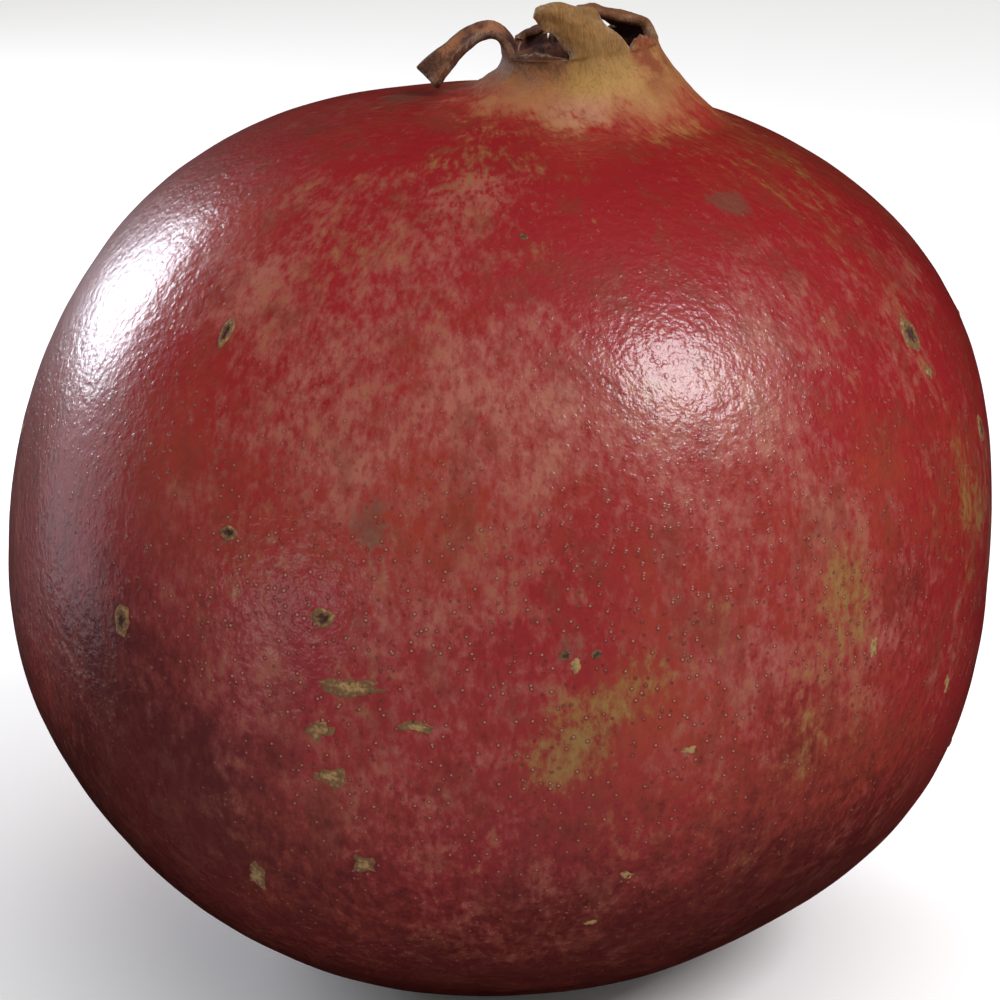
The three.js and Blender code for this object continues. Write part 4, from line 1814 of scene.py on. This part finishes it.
@dataclass
class Studio:
    """Pale floor, soft lights and the camera at the photograph's angle.

    The target and the camera's distance are in millimetres, the floor and the lights in metres.
    """

    target: tuple[float, float, float] = (0.79, -0.45, 47.4)
    elevation: float = 18.0
    distance: float = 260.0
    lens: float = 93.6
    sensor: float = 36.0
    clip: tuple[float, float] = (0.01, 50.0)
    floor_size: float = 6.0
    floor_shade: str = "FAF9F7"
    floor_roughness: float = 0.9
    sky: float = 0.45
    overhead: float = 1.2
    overhead_spread: float = 70.0
    overhead_from: tuple[float, float, float] = (0.25, -0.25, 1)
    aim_height: float = 0.05
    boxes: tuple[Softbox, ...] = (
        Softbox("window_left", (-0.72, 0.62, 0.31), 0.62, 0.24, 12.5, "EEF3FF"),
        Softbox("haze_left", (-0.93, 0.36, 0.04), 0.80, 0.60, 0.65, "EEF3FF"),
        Softbox("key_right", (0.59, -0.42, 0.69), 0.70, 0.26, 16.0, "FAFAFF"),
        Softbox("fill_left", (-0.56, -0.82, -0.06), 0.45, 0.09, 2.4),
    )

    def link(self, name: str, data: bpy.types.ID) -> bpy.types.Object:
        """Makes an object of its data and links it to the scene.

        Args:
            name: the object's name.
            data: its camera, light or mesh.

        Returns:
            The object.
        """
        made = bpy.data.objects.new(name, data)
        bpy.context.scene.collection.objects.link(made)
        return made

    def camera(self) -> None:
        """Makes the scene's camera."""
        rise = math.radians(self.elevation)
        back = Vector((0, -math.cos(rise), math.sin(rise)))
        data = bpy.data.cameras.new("viewer")
        data.lens = self.lens
        data.sensor_width = self.sensor
        data.clip_start, data.clip_end = self.clip
        eye = self.link("viewer", data)
        eye.location = (Vector(self.target) + back * self.distance) * METRE
        eye.rotation_euler = (-back).to_track_quat("-Z", "Y").to_euler()
        bpy.context.scene.camera = eye

    def light(self, box: Softbox) -> None:
        """Makes one softbox.

        Args:
            box: its place, size and strength.
        """
        data = bpy.data.lights.new(box.name, "AREA")
        data.shape = "SQUARE"
        data.size = box.size
        data.energy = box.power
        data.color = paint(box.tint)[:3]
        lamp = self.link(box.name, data)
        way = Vector(box.direction).normalized()
        lamp.location = Vector((0, 0, self.aim_height)) + way * box.distance
        lamp.rotation_euler = way.to_track_quat("Z", "Y").to_euler()

    def ceiling(self) -> None:
        """Makes the even light from overhead, which leaves no highlight of its own."""
        data = bpy.data.lights.new("overhead", "SUN")
        data.energy = self.overhead
        data.angle = math.radians(self.overhead_spread)
        lamp = self.link("overhead", data)
        lamp.rotation_euler = Vector(self.overhead_from).to_track_quat("Z", "Y").to_euler()
        lamp.visible_glossy = False

    def floor(self) -> None:
        """Makes the pale floor that the fruit rests on."""
        half = self.floor_size / 2
        corners = [(-half, -half, 0), (half, -half, 0), (half, half, 0), (-half, half, 0)]
        data = bpy.data.meshes.new("floor")
        data.from_pydata(corners, [], [(0, 1, 2, 3)])
        surface = Surface("pale_floor")
        surface.dress(paint(self.floor_shade), self.floor_roughness)
        data.materials.append(surface.material)
        floor = self.link("floor", data)
        floor.visible_glossy = False

    def world(self) -> None:
        """Makes the even white surroundings, which leave no highlight."""
        world = bpy.data.worlds.new("studio")
        bpy.context.scene.world = world
        world.use_nodes = True
        ground = world.node_tree.nodes["Background"].inputs
        ground["Color"].default_value = (1.0, 1.0, 1.0, 1.0)
        ground["Strength"].default_value = self.sky
        world.cycles_visibility.glossy = False

    def build(self) -> None:
        """Makes the whole studio."""
        self.camera()
        self.floor()
        for box in self.boxes:
            self.light(box)
        self.ceiling()
        self.world()
        bpy.context.scene.view_settings.view_transform = "Standard"
        LOG.info("studio: %d softboxes", len(self.boxes))


def main() -> None:
    """Builds the studio, the rind, its blemishes and the stamens."""
    logging.basicConfig(level=logging.INFO, format="%(name)s %(message)s")
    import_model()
    Studio().build()
    form = FruitForm()
    shared = Weathering()
    rind = Rind(form)
    rind.build(RindFinish(shared), LiningFinish(shared).material())
    Blemishes(rind).build(CorkFinish(shared).material())
    Stamens(form).build(WitheredFinish(shared).material())


if __name__ == "__main__":
    main()
